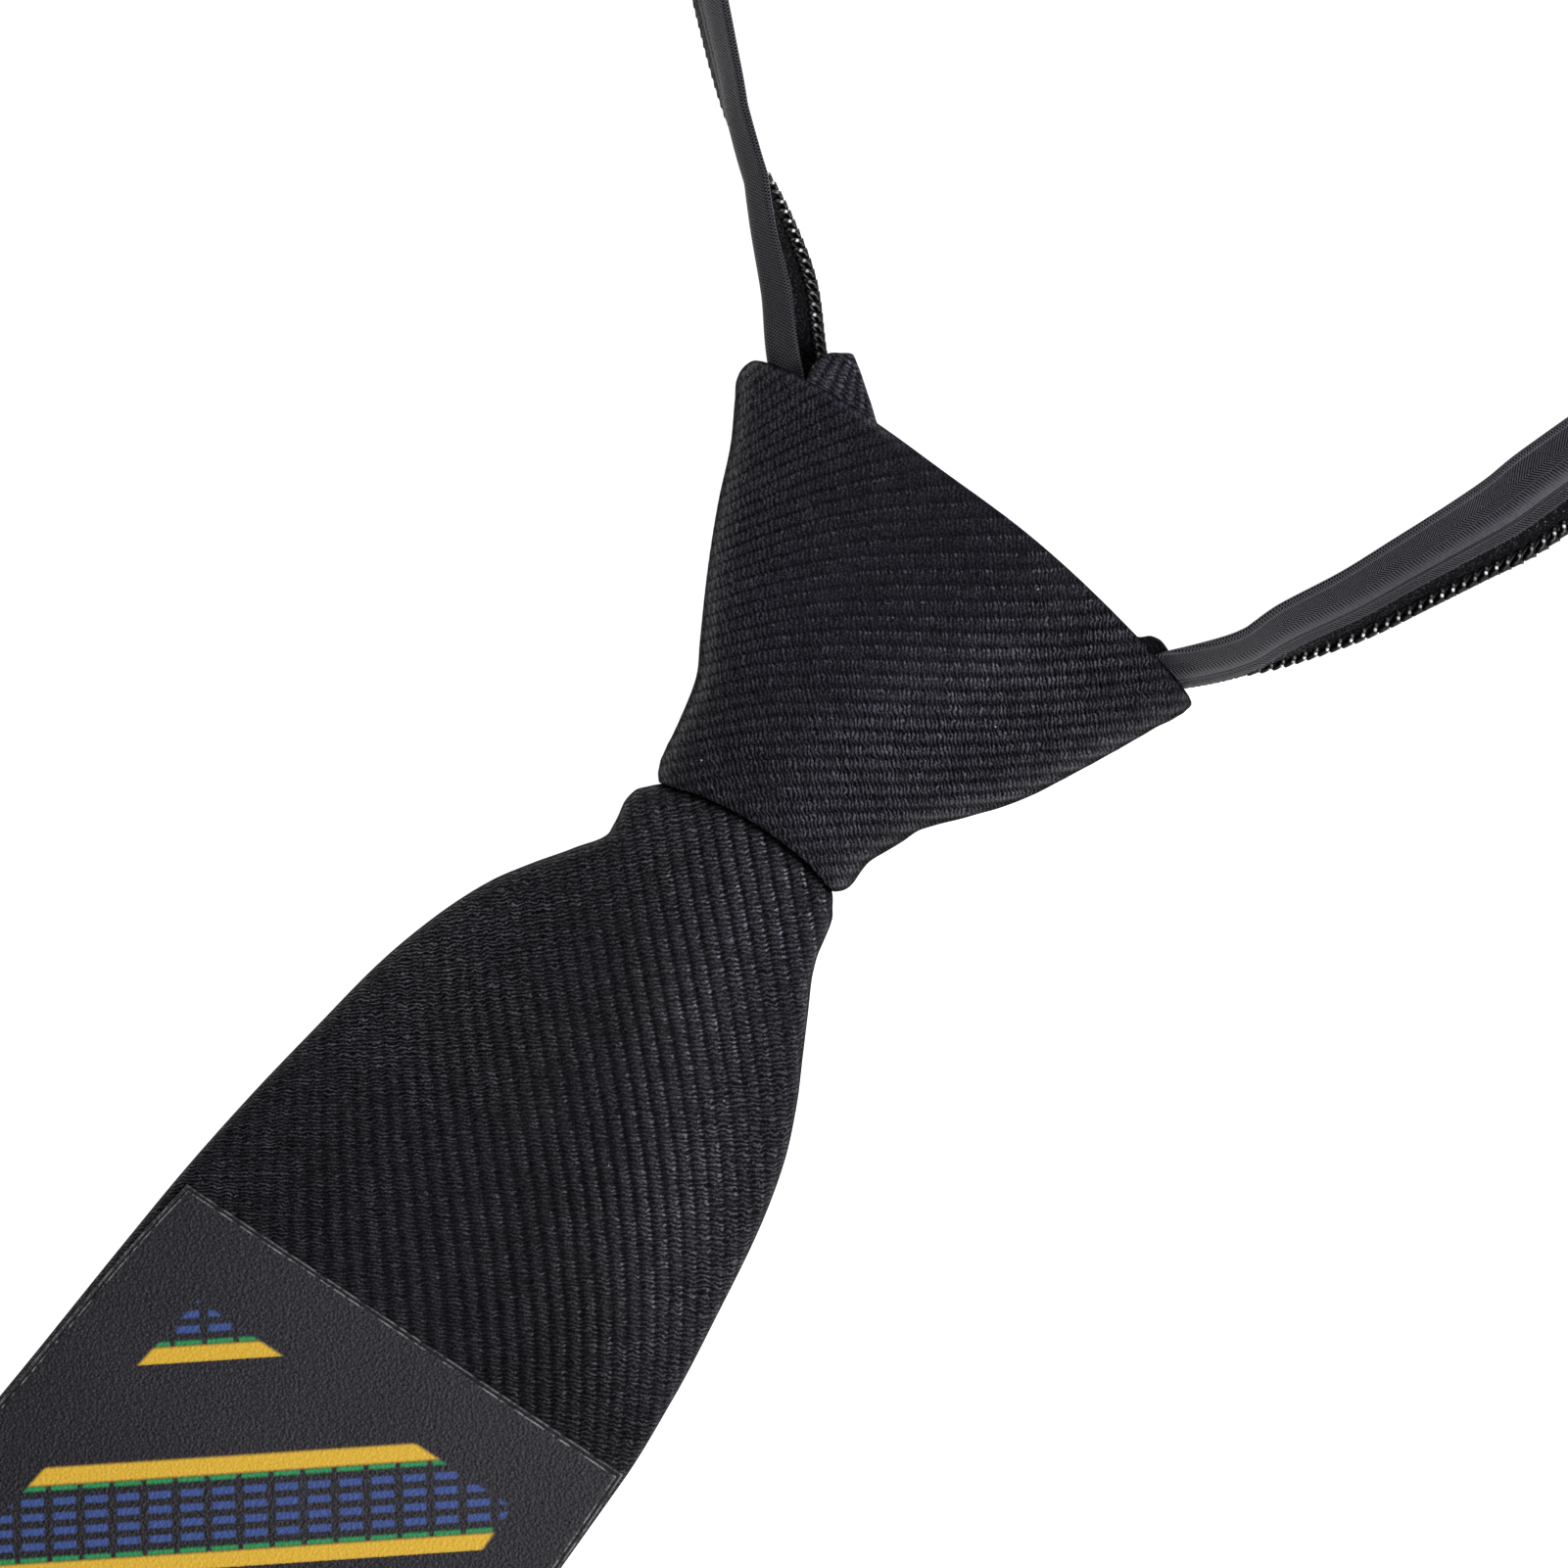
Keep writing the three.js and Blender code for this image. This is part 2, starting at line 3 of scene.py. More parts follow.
import bpy
import numpy as np
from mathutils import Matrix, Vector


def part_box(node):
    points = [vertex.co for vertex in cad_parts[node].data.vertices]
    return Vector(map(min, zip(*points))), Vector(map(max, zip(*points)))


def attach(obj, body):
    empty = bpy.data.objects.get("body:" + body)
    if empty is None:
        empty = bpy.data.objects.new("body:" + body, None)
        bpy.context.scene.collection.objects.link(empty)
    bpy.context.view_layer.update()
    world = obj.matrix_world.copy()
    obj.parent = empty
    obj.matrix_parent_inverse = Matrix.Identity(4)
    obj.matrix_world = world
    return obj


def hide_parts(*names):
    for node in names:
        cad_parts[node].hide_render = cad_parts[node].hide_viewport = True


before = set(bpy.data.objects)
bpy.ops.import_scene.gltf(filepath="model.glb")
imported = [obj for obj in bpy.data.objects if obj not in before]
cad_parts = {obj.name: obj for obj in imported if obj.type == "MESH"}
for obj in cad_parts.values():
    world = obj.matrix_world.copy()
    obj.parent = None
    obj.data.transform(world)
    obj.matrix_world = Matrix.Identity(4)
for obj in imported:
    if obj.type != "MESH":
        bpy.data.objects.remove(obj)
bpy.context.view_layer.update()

# Tables and sizes are in millimetres in the drawing's own frame, as in the CAD source: X is to
# the tie's right, Y runs from the tip to the neck, Z is up, and zero is the middle of the knot.
MM = 0.001
KNOT_WALL = 1.5
INNER_WRAP_WALL = 1.3
BLADE_WALL = 1.2
GAP = 0.3
PANEL_THICKNESS = 0.9
PANEL_MARGIN = 1.0
HIDDEN_TOP = -142.0
HIDDEN_END = -404.0
HIDDEN_ROWS = 6
HALF_WIDTH_TOP = 32.4
HALF_WIDTH_END = 48.0
MIDDLE_TOP = -0.4
MIDDLE_END = -6.4
TIP_DEPTH = 48.0
TEETH_RADIUS = 1.0
TAPE_WIDTH = 11.0
LOOP_CENTRE = (-16.8, 112.6)
LOOP_RADIUS = 87.7
LOOP_START = -20.0
LOOP_END = 229.5
NAPE = (LOOP_START + LOOP_END) / 2
STRAP_BREAK = 0.4
JOINER_WALL = 1.2
JOINER_ARC = 16.0

# left x, left y, right x, right y, bow, height, edge, back
KNOT_ROWS = np.array([
    (-30.1, 3.3, 31.0, 0.3, 2.6, 16.0, 4.2, 5.0),
    (-31.7, 2.2, 32.2, -0.7, 2.3, 16.6, 4.4, 4.2),
    (-31.9, 0.4, 32.2, -2.2, 1.9, 17.0, 4.6, 3.0),
    (-30.6, -2.4, 31.0, -5.0, 1.5, 17.5, 4.8, 1.6),
    (-27.9, -7.2, 29.0, -9.4, 1.0, 18.0, 5.0, 0.0),
    (-25.3, -13.2, 26.4, -14.8, 0.6, 18.2, 5.0, 0.0),
    (-21.6, -20.6, 23.2, -20.9, 0.4, 17.8, 5.0, 0.0),
    (-17.7, -27.6, 19.0, -26.5, 0.4, 16.6, 4.8, 0.0),
    (-15.4, -31.6, 14.9, -31.4, 0.5, 15.6, 4.6, 0.0),
    (-13.8, -36.6, 13.0, -36.2, 0.8, 14.6, 4.4, 0.0),
    (-12.9, -41.2, 12.2, -40.6, 1.1, 13.8, 4.2, 0.0),
    (-11.9, -43.4, 11.3, -42.0, 1.3, 13.2, 4.0, 0.0),
])
KNOT_PLACES = -(KNOT_ROWS[:, 1] + KNOT_ROWS[:, 3]) / 2
KNOT_SQUARENESS = 3.0
KNOT_BACK_FLAT = 0.5

INNER_WRAP_END = -9.0
INNER_WRAP_TAPER = 0.88
# x, upper edge
INNER_WRAP_ROWS = np.array([
    (-25.4, 5.6), (-24.7, 7.8), (-23.6, 8.6), (-22.4, 9.25), (-21.2, 8.6), (-17.7, 6.1),
    (-14.0, 3.6), (-7.0, 2.4), (0.0, 2.2), (8.0, 1.8), (17.0, 1.4), (22.9, 1.8),
    (24.25, 2.84), (25.3, 3.05), (26.4, 2.8), (27.5, 2.3),
])

# left x, left y, right x, right y, thick, crown, lift, tip
BLADE_ROWS = [
    (-9.4, -34.0, 8.8, -34.0, 7.6, 0.8, 1.8, 0.0),
    (-9.6, -43.2, 9.0, -41.8, 7.8, 0.8, 1.8, 0.0),
    (-12.3, -44.8, 11.8, -43.5, 7.9, 0.9, 1.8, 0.0),
    (-13.9, -46.2, 13.0, -45.0, 7.8, 1.0, 1.7, 0.0),
    (-13.9, -48.6, 13.9, -48.4, 7.5, 1.1, 1.5, 0.0),
    (-13.4, -51.4, 15.2, -51.4, 7.2, 1.2, 1.3, 0.0),
    (-15.7, -55.4, 17.4, -55.4, 6.8, 1.3, 1.0, 0.0),
    (-18.6, -59.6, 19.8, -59.8, 6.4, 1.4, 0.7, 0.0),
    (-21.4, -64.2, 22.4, -64.6, 6.0, 1.4, 0.4, 0.0),
    (-24.2, -71.2, 25.2, -71.2, 5.6, 1.3, 0.1, 0.0),
    (-26.4, -79.5, 27.3, -79.2, 5.2, 1.2, 0.0, 0.0),
    (-28.0, -89.5, 29.0, -89.5, 4.8, 1.0, 0.0, 0.0),
    (-29.6, -100.5, 30.5, -100.5, 4.5, 0.8, 0.0, 0.0),
    (-30.9, -112.5, 31.3, -112.0, 4.4, 0.6, 0.0, 0.0),
    (-31.7, -124.0, 31.3, -124.0, 4.4, 0.6, 0.0, 0.0),
    (-32.8, HIDDEN_TOP, 32.0, HIDDEN_TOP, 4.4, 0.6, 0.0, 0.0),
]
for step in range(1, HIDDEN_ROWS + 1):
    share = step / HIDDEN_ROWS
    middle = MIDDLE_TOP + (MIDDLE_END - MIDDLE_TOP) * share
    half = HALF_WIDTH_TOP + (HALF_WIDTH_END - HALF_WIDTH_TOP) * share
    y = HIDDEN_TOP + (HIDDEN_END - HIDDEN_TOP) * share
    BLADE_ROWS.append((middle - half, y, middle + half, y, 4.4, 0.6, 0.0, TIP_DEPTH * share**2))
BLADE_ROWS = np.array(BLADE_ROWS)
BLADE_PLACES = -(BLADE_ROWS[:, 1] + BLADE_ROWS[:, 3]) / 2
FLAP_OVERLAP = 0.18
# y and x of both edges just below the knot
NECK_LEFT = np.array([
    (-51.4, -13.45), (-49.7, -13.65), (-47.5, -14.05), (-45.9, -13.8), (-44.8, -12.95),
    (-43.5, -11.7), (-42.3, -10.1), (-41.0, -9.5),
])
NECK_RIGHT = np.array([
    (-51.4, 15.2), (-49.15, 14.35), (-47.3, 13.95), (-45.75, 13.6), (-44.6, 13.2),
    (-43.9, 12.7), (-42.4, 11.6), (-41.0, 9.6), (-40.2, 9.0),
])

# left x, left y, right x, right y, tip
PANEL_ROWS = [
    (-29.5, -112.8, 30.8, -110.9, 0.0),
    (-30.6, -121.5, 31.0, -121.5, 0.0),
    (-31.9, -137.0, 31.2, -137.0, 0.0),
]
for row in BLADE_ROWS[-HIDDEN_ROWS:]:
    PANEL_ROWS.append((row[0] + PANEL_MARGIN, row[1], row[2] - PANEL_MARGIN, row[3], row[7]))
PANEL_ROWS = np.array(PANEL_ROWS)

# How the straps run, fold and turn: x, y, base, angle at the toothed edge, angle at the plain
# edge, width
LEFT_FOLDS = [
    (-4.2, -16.4, 1.9, 20, 20, 7.4),
    (-14.0, -7.4, 1.9, 24, 24, 7.4),
    (-21.0, 0.8, 1.9, 14, 110, 9.5),
    (-26.85, 5.0, 1.6, 8, 162, 11.0),
    (-32.95, 11.6, 0.8, 22, 146, 11.0),
    (-39.05, 16.5, 0.2, 47, 133, 11.0),
    (-45.2, 21.1, 0.0, 76, 127, 11.0),
    (-53.6, 28.1, 0.0, 98, 117, 11.0),
    (-59.2, 33.1, 0.0, 101, 119, 11.0),
]
RIGHT_FOLDS = [
    (4.2, -16.4, 1.9, 20, 20, 7.4),
    (14.0, -9.6, 1.9, 40, 30, 7.4),
    (22.8, -4.1, 1.9, 90, 46, 8.3),
    (27.6, 0.4, 1.8, 101, 57, 10.2),
    (33.15, 6.65, 1.2, 98, 57, 11.0),
    (36.9, 12.7, 0.7, 64, 51, 11.0),
    (41.2, 19.7, 0.3, 44, 46, 11.0),
    (44.7, 26.9, 0.0, 33, 40, 11.0),
    (47.75, 33.4, 0.0, 27, 32, 11.0),
    (50.1, 38.5, 0.0, 16, 22, 11.0),
    (51.8, 43.6, 0.0, 10, 14, 11.0),
    (58.4, 62.8, 0.0, 18, 22, 11.0),
]
# How far from the toothed edge each one folds, and over what width.
FOLDS = {"left": (6.8, 1.7), "right": (3.1, 1.0)}
# Round the neck: share of the way to the nape, tilt of the left strap, of the right one, base
ROUND_ROWS = [
    (0.0, 106, 34, 0.0), (0.2, 100, 52, 0.0), (0.4, 96, 68, 0.0), (0.6, 93, 80, 0.0),
    (0.8, 90, 88, 0.6), (0.9, 90, 90, 1.5), (1.0, 90, 90, 1.5),
]

# What takes the drawing's frame to the frame of the CAD nodes.
SHIFT = np.array([
    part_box("knot_wrap")[0][0] / MM - KNOT_ROWS[:, 0].min(),
    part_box("blade")[0][1] / MM - (HIDDEN_END - TIP_DEPTH),
    0.0,
])


# Curves and meshes.

def through(places, values, at):
    """A smooth curve without overshoot through values at rising places, read at at."""
    values = np.asarray(values, float).reshape(len(places), -1)
    steps = np.diff(places)[:, None]
    rates = np.diff(values, axis=0) / steps
    slopes = np.zeros_like(values)
    before, after = rates[:-1], rates[1:]
    near, far = steps[1:] * 2 + steps[:-1], steps[1:] + steps[:-1] * 2
    with np.errstate(divide="ignore", invalid="ignore"):
        mean = (near + far) / (near / before + far / after)
    slopes[1:-1] = np.where(before * after > 0, mean, 0.0)
    slopes[0], slopes[-1] = rates[0], rates[-1]
    i = np.clip(np.searchsorted(places, at, side="right") - 1, 0, len(places) - 2)
    h = steps[i]
    t = ((at - places[i]) / h[:, 0]).clip(0, 1)[:, None]
    a = values[i] * (1 + 2 * t) * (1 - t) ** 2 + slopes[i] * h * t * (1 - t) ** 2
    b = values[i + 1] * t * t * (3 - 2 * t) + slopes[i + 1] * h * t * t * (t - 1)
    return a + b


def smooth(low, high, x):
    """0 up to low, 1 from high on, and a smooth rise between them."""
    t = np.clip((np.asarray(x, float) - low) / (high - low), 0, 1)
    return t * t * (3 - 2 * t)


def hump(x, middle, reach):
    """1 at the middle, falling to both sides."""
    return np.exp(-((x - middle) / reach) ** 2)


def round_off(share):
    """How far a round edge has dropped: 1 at its rim, 0 from share 1 on."""
    return 1 - np.sqrt(1 - (1 - np.clip(share, 0, 1)) ** 2)


def slanted(left, right, across):
    """A value between its left and its right end, where across runs from -1 to 1."""
    share = (across + 1) / 2
    return left * (1 - share) + right * share


def unit(vectors):
    return vectors / np.linalg.norm(vectors, axis=-1, keepdims=True).clip(1e-9)


def lengths(points, axis=0):
    """Length along a line of points from its first one."""
    step = np.linalg.norm(np.diff(points, axis=axis), axis=-1)
    start = np.zeros_like(np.take(step, [0], axis=axis))
    return np.concatenate([start, np.cumsum(step, axis=axis)], axis=axis)


def normals_of(points, row, column):
    """Unit normals of a grid of points, upwards at the given row and column."""
    normal = unit(np.cross(np.gradient(points, axis=1), np.gradient(points, axis=0)))
    return normal * np.sign(normal[row, column, 2])


def grid_faces(rows, columns, first=0, wrap=False, endless=False):
    """Quads between rows of points; wrap joins the last column to the first."""
    r = np.arange(rows if endless else rows - 1)[:, None]
    c = np.arange(columns if wrap else columns - 1)[None, :]
    r2, c2 = (r + 1) % rows, (c + 1) % columns
    quads = [r * columns + c, r * columns + c2, r2 * columns + c2, r2 * columns + c]
    return (first + np.stack(quads, axis=-1).reshape(-1, 4)).tolist()


def closed_sheets(top, under):
    """Points and faces of a thin solid between two grids of points."""
    rows, columns = top.shape[:2]
    size = rows * columns
    faces = grid_faces(rows, columns)
    faces += [face[::-1] for face in grid_faces(rows, columns, first=size)]
    border = [(0, c) for c in range(columns)] + [(r, columns - 1) for r in range(1, rows)]
    border += [(rows - 1, c) for c in range(columns - 2, -1, -1)]
    border += [(r, 0) for r in range(rows - 2, 0, -1)]
    line = [r * columns + c for r, c in border]
    faces += [(b, a, a + size, b + size) for a, b in zip(line, line[1:] + line[:1])]
    return np.stack([top, under]), faces


def zip_faces(one, other, one_at, other_at):
    """Triangles between two lines of points, from their numbers and places along them."""
    faces = []
    i = j = 0
    while i < len(one) - 1 or j < len(other) - 1:
        go_one = j == len(other) - 1 or (i < len(one) - 1 and one_at[i + 1] <= other_at[j + 1])
        if go_one:
            faces.append((one[i], one[i + 1], other[j]))
            i += 1
        else:
            faces.append((one[i], other[j + 1], other[j]))
            j += 1
    return faces


def solid_piece(name, points, faces, material, slot, replaces, **fields):
    """A new object from points in the drawing's frame, with its normals outwards. Each field
    is kept at the points under its name, and a field of one sheet serves both sheets."""
    place = (np.asarray(points, float).reshape(-1, 3) + SHIFT) * MM
    mesh = bpy.data.meshes.new(name)
    mesh.from_pydata(place.tolist(), [], faces)
    for field, values in fields.items():
        values = values.reshape(-1, values.shape[-1])
        values = np.pad(values, ((0, 0), (0, 3 - values.shape[1])))
        values = np.tile(values, (len(place) // len(values), 1))
        attribute = mesh.attributes.new(field, "FLOAT_VECTOR", "POINT")
        attribute.data.foreach_set("vector", values.ravel())
    first, second, third, last = (place[[face[i] for face in faces]] for i in (0, 1, 2, -1))
    if np.sum(first * (np.cross(second, third) + np.cross(third, last))) < 0:
        mesh.flip_normals()
    mesh.polygons.foreach_set("use_smooth", [True] * len(mesh.polygons))
    mesh.materials.append(material)
    mesh.update()
    piece = bpy.data.objects.new(name, mesh)
    bpy.context.scene.collection.objects.link(piece)
    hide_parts(replaces)
    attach(piece, "root")
    return piece


# Materials.

class Value:
    """What a node gives, so that a material is written in formulas."""

    def __init__(self, graph, socket):
        self.graph = graph
        self.socket = socket

    def __add__(self, other):
        return self.graph.math("ADD", self, other)

    def __sub__(self, other):
        return self.graph.math("SUBTRACT", self, other)

    def __rsub__(self, other):
        return self.graph.math("SUBTRACT", other, self)

    def __mul__(self, other):
        return self.graph.math("MULTIPLY", self, other)

    def __truediv__(self, other):
        return self.graph.math("DIVIDE", self, other)


class Graph:
    """A material and the nodes that its formulas add."""

    def __init__(self, name):
        self.material = bpy.data.materials.new(name)
        self.material.use_nodes = True
        self.tree = self.material.node_tree
        self.tree.nodes.clear()
        output = self.tree.nodes.new("ShaderNodeOutputMaterial")
        self.shader = self.tree.nodes.new("ShaderNodeBsdfPrincipled")
        self.tree.links.new(self.shader.outputs[0], output.inputs["Surface"])

    def put(self, socket, value):
        """Fill a socket from a node, a colour or a number."""
        if isinstance(value, Value):
            self.tree.links.new(value.socket, socket)
        elif isinstance(value, tuple):
            socket.default_value = (*value, 1.0)
        elif value is not None:
            socket.default_value = value

    def node(self, kind, inputs, output=0, **settings):
        node = self.tree.nodes.new(kind)
        for name, value in settings.items():
            setattr(node, name, value)
        for key, value in inputs.items():
            self.put(node.inputs[key], value)
        return Value(self, node.outputs[output])

    def math(self, operation, a, b=None):
        return self.node("ShaderNodeMath", {0: a, 1: b}, operation=operation)

    def ramp(self, value, low, high, to_low=0.0, to_high=1.0):
        """A smooth change from one value to another between low and high."""
        inputs = {"Value": value, "From Min": low, "From Max": high}
        inputs.update({"To Min": to_low, "To Max": to_high})
        return self.node("ShaderNodeMapRange", inputs, interpolation_type="SMOOTHSTEP")

    def from_half(self, phase):
        """1 where the phase is whole, falling to 0 halfway between."""
        return self.math("ABSOLUTE", self.math("FRACT", phase) * 2.0 - 1.0)

    def within(self, value, low, high, soft):
        """1 between low and high, with soft edges."""
        rise = self.ramp(value, low - soft, low + soft)
        return rise * self.ramp(value, high - soft, high + soft, 1.0, 0.0)

    def field(self, name):
        """The three numbers that a piece keeps at its points under this name."""
        vector = self.node("ShaderNodeAttribute", {}, "Vector", attribute_name=name)
        parts = self.node("ShaderNodeSeparateXYZ", {0: vector}).socket.node.outputs
        return [Value(self, part) for part in parts]

    def place(self):
        """Place in millimetres, for grain that doesn't follow a weave."""
        return self.scaled(self.node("ShaderNodeTexCoord", {}, "Object"), 1 / MM)

    def vector(self, x, y):
        return self.node("ShaderNodeCombineXYZ", {0: x, 1: y})

    def random(self, x, y=0.0):
        return self.node("ShaderNodeTexWhiteNoise", {"Vector": self.vector(x, y)}, "Value")

    def noise(self, vector, scale, detail=2.0, roughness=0.5, output="Fac"):
        inputs = {"Vector": vector, "Scale": scale, "Detail": detail, "Roughness": roughness}
        return self.node("ShaderNodeTexNoise", inputs, output)

    def cells(self, vector, scale, **settings):
        """Distance from the middle of cells that lie at random."""
        inputs = {"Vector": vector, "Scale": scale, "Randomness": 1.0}
        return self.node("ShaderNodeTexVoronoi", inputs, "Distance", **settings)

    def mix(self, share, a, b):
        return self.node("ShaderNodeMix", {0: share, 6: a, 7: b}, 2, data_type="RGBA")

    def scaled(self, vector, by):
        return self.node("ShaderNodeVectorMath", {0: vector, "Scale": by}, operation="SCALE")

    def shaken(self, vector, scale, by):
        """The vector moved to and fro by noise."""
        noise = self.scaled(self.noise(vector, scale, output="Color"), by)
        return self.node("ShaderNodeVectorMath", {0: vector, 1: noise}, operation="ADD")

    def bump(self, height, distance, strength=1.0):
        inputs = {"Height": height, "Distance": distance, "Strength": strength}
        return self.node("ShaderNodeBump", inputs)

    def finish(self, **inputs):
        for name, value in inputs.items():
            self.put(self.shader.inputs[name.replace("_", " ")], value)
        return self.material


KNOT_TINTS = ((0.0158, 0.0152, 0.0190), (0.0155, 0.0148, 0.0203))
BLADE_TINTS = ((0.0160, 0.0159, 0.0180), (0.0158, 0.0153, 0.0190))
MATT_TINT = (0.0146, 0.0137, 0.0215)
LINT_TINT = (0.75, 0.70, 0.70)


def cloth_material(name, tints):
    """Corded cloth: ribs with fine threads across them. "weave" holds the rib and thread
    numbers and how bright the painted glints are, "look" how strong threads, bands and lines are,
    and "tone" how bright the cloth is, painted highlight and shade included, and how matt."""
    g = Graph(name)
    rib, thread, glint_share = g.field("weave")
    thread_share, band_share, line_share = g.field("look")
    tone, matt, _ = g.field("tone")
    place = g.place()
    rib = rib + (g.noise(place, 0.5) - 0.5) * 0.22
    rib_number = g.math("FLOOR", rib)
    turn = rib * (2 * math.pi)
    crest = g.math("COSINE", turn) * -1.0
    # The threads sway to and fro as they cross the ribs, and don't quite meet from rib to rib.
    sway = (g.noise(place, 0.9, 4.0, 0.7) - 0.5) * 3.0 + g.math("SINE", turn) * 0.11
    thread = thread + g.random(rib_number) * band_share * 0.9 + sway
    over = g.ramp(g.from_half(thread), 0.12, 0.88, 1.0, -1.0)
    luck = g.random(rib_number, g.math("FLOOR", thread))
    # What makes the cloth lighter or darker adds up in a power of e.
    fine = g.noise(place, 4.2, 3.0, 0.9)
    grain = g.ramp(fine, 0.38, 0.62, -0.78, 0.78)
    slow = g.ramp(g.noise(place, 0.30, 3.0, 0.6), 0.3, 0.7, -0.12, 0.12)
    threads = over * thread_share * (luck + 0.95)
    # Bands are painted light and shade across the ribs, and lines painted shade in their grooves.
    bands = crest * band_share * 1.25
    lines = g.ramp(g.from_half(rib), 0.66, 0.97) * (line_share * -1.5)
    # Painted glints: painted highlights in bright dashes on one flank of each rib.
    lucky = g.ramp(luck, -0.1, 0.7) * g.ramp(over, -0.2, 0.7)
    painted_glints = g.within(g.math("FRACT", rib), 0.66, 0.86, 0.06) * (lucky * (glint_share * 2.9))
    power = (threads + bands) + (grain + slow) + (lines + painted_glints)
    value = g.math("POWER", math.e, power) * tone
    base = g.mix(g.ramp(g.noise(place, 0.045), 0.35, 0.65), *tints)
    base = g.scaled(g.mix(matt, base, MATT_TINT), value)
    lint = g.ramp(g.cells(place, 0.16), 0.008, 0.016, 1.0, 0.0)
    height = crest * (band_share * 0.5) + over * (thread_share * 0.3)
    height = height + (fine * 0.7 + lines * 0.25)
    shine = g.math("MINIMUM", value * 0.14, 0.45) * g.ramp(matt, 0.0, 1.0, 1.0, 0.15)
    return g.finish(
        Base_Color=g.mix(lint, base, LINT_TINT),
        Roughness=g.ramp(fine, 0.35, 0.65, 0.40, 0.55),
        Specular_IOR_Level=shine,
        Specular_Tint=(0.84, 0.82, 1.0),
        Normal=g.bump(height, 0.00020),
    )


# The tape's stripes of weave, as places across it from its toothed edge.
SEAM_FADE = (2.9, 3.3)
NARROW_ROWS = (3.2, 4.35)
GROOVE = (4.45, 4.75)
INNER_ROWS = (4.85, 7.15)
OUTER_ROWS = (7.15, 10.2)
PLAIN_FADE = (10.1, 10.5)
BONE_TURN = 8.25
ROW_PITCH = 0.40
GRAIN_RATE = 2.6
TAPE_TINTS = ((0.0415, 0.0393, 0.0478), (0.0028, 0.0027, 0.0040))
SEAM_AND_SHADE_TINT = (0.004, 0.004, 0.005)
GROOVE_TINT = (0.002, 0.002, 0.0025)


def tape_material():
    """Zip tape: rows of slanted threads on its face, and a plain weave on its back. "tape"
    holds the place along it and across it, and 1 on its face and -1 on its back."""
    g = Graph("zip_tape_weave")
    along, across, face = g.field("tape")
    front = g.ramp(face, -0.1, 0.1)
    fuzz = g.noise(g.place(), 3.6, 3.0, 0.65)
    rate = 1.0 / ROW_PITCH
    outer = g.from_half((along - g.math("ABSOLUTE", across - BONE_TURN) * 0.95) * rate)
    inner = g.from_half((along - (BONE_TURN - across) * 0.40 - 0.35) * rate)
    narrow = g.from_half((along + across * 0.95) * rate)
    grain = g.from_half((along + across * 0.6) * GRAIN_RATE)
    grain = grain * g.from_half((along - across * 0.8) * GRAIN_RATE) * 1.5
    in_inner = g.within(across, *INNER_ROWS, 0.2) * g.ramp(across, 4.6, 7.2, 0.3, 1.0)
    in_seam = g.ramp(across, *SEAM_FADE, 1.0, 0.0)
    groove = g.within(across, *GROOVE, 0.1)
    lines = outer * g.within(across, *OUTER_ROWS, 0.15) + inner * in_inner
    lines = lines + narrow * (g.within(across, *NARROW_ROWS, 0.15) * 0.85)
    lines = lines + grain * g.ramp(across, *PLAIN_FADE)
    lines = lines * front + grain * (1.0 - front)
    lines = lines + g.ramp(fuzz, 0.35, 0.6) * (in_seam * 1.2)
    base = g.mix(g.ramp(lines, 0.25, 0.75), *TAPE_TINTS)
    # The seam beside the coil is darker: its stitching, with painted shade.
    base = g.mix(in_seam * 0.75, base, SEAM_AND_SHADE_TINT)
    base = g.mix(groove * front * 0.9, base, GROOVE_TINT)
    base = g.scaled(base, g.ramp(fuzz, 0.3, 0.7, 0.7, 1.3))
    base = g.scaled(base, g.ramp(face, -0.1, 0.1, 0.78, 1.0))
    # It is paler away from the knot.
    base = g.scaled(base, g.ramp(along, 56.0, 74.0, 0.89, 1.15))
    return g.finish(
        Base_Color=base,
        Roughness=g.ramp(fuzz, 0.3, 0.7, 0.42, 0.6),
        Specular_IOR_Level=g.ramp(lines, 0.3, 0.8, 0.25, 0.025),
        Normal=g.bump(1.0 - (lines * 0.6 + groove * 1.2) + fuzz * 0.3, 0.00018),
    )


COIL_TINTS = ((0.0035, 0.0035, 0.0040), (0.010, 0.010, 0.011))
HIGHLIGHT_TINT = (0.75, 0.75, 0.77)


def coil_material():
    """Dark plastic, with a painted highlight on the top of every turn. "coil" holds the share
    of the turn, and how far to the side of the thread a point lies."""
    g = Graph("zip_coil_plastic")
    part, sideways, _ = g.field("coil")
    place = g.place()
    scuff = g.noise(place, 2.2, 3.0, 0.6)
    luck = g.ramp(g.noise(place, 0.25), 0.35, 0.6, 0.2, 1.0)
    # A pale spot and a faint dash on each turn are painted highlights.
    highlight_spot = g.within(part, 0.17, 0.225, 0.02) * g.within(sideways, -0.6, 0.6, 0.3)
    highlight_dash = g.within(part, 0.04, 0.12, 0.02) * g.within(sideways, -0.1, 0.9, 0.2)
    base = g.mix(g.ramp(scuff, 0.35, 0.75), *COIL_TINTS)
    return g.finish(
        Base_Color=g.mix((highlight_spot + highlight_dash * 0.12) * luck, base, HIGHLIGHT_TINT),
        Roughness=g.ramp(scuff, 0.3, 0.7, 0.30, 0.44),
        Specular_IOR_Level=0.28,
        Normal=g.bump(g.noise(place, 6.0), 0.00002, 0.6),
    )


# The print's stripes: their slant, then places from the start of each period.
STRIPE_ANGLE = math.radians(39.25)
STRIPE_PERIOD = 23.8
STRIPE_START = -89.11
YELLOW_LINES = ((0.0, 1.87), (10.78, 12.74))
YELLOW_HALOS = ((-0.25, 2.1), (10.5, 13.0))
GREEN_LINES = ((2.02, 2.50), (10.15, 10.65))
BLUE_BAND = (3.0, 9.7)
BLUE_START = 2.95
BLUE_PITCH = 1.684
DASH_START = -64.63
DASH_PITCH = 3.668
DASH_LEAN = 0.045
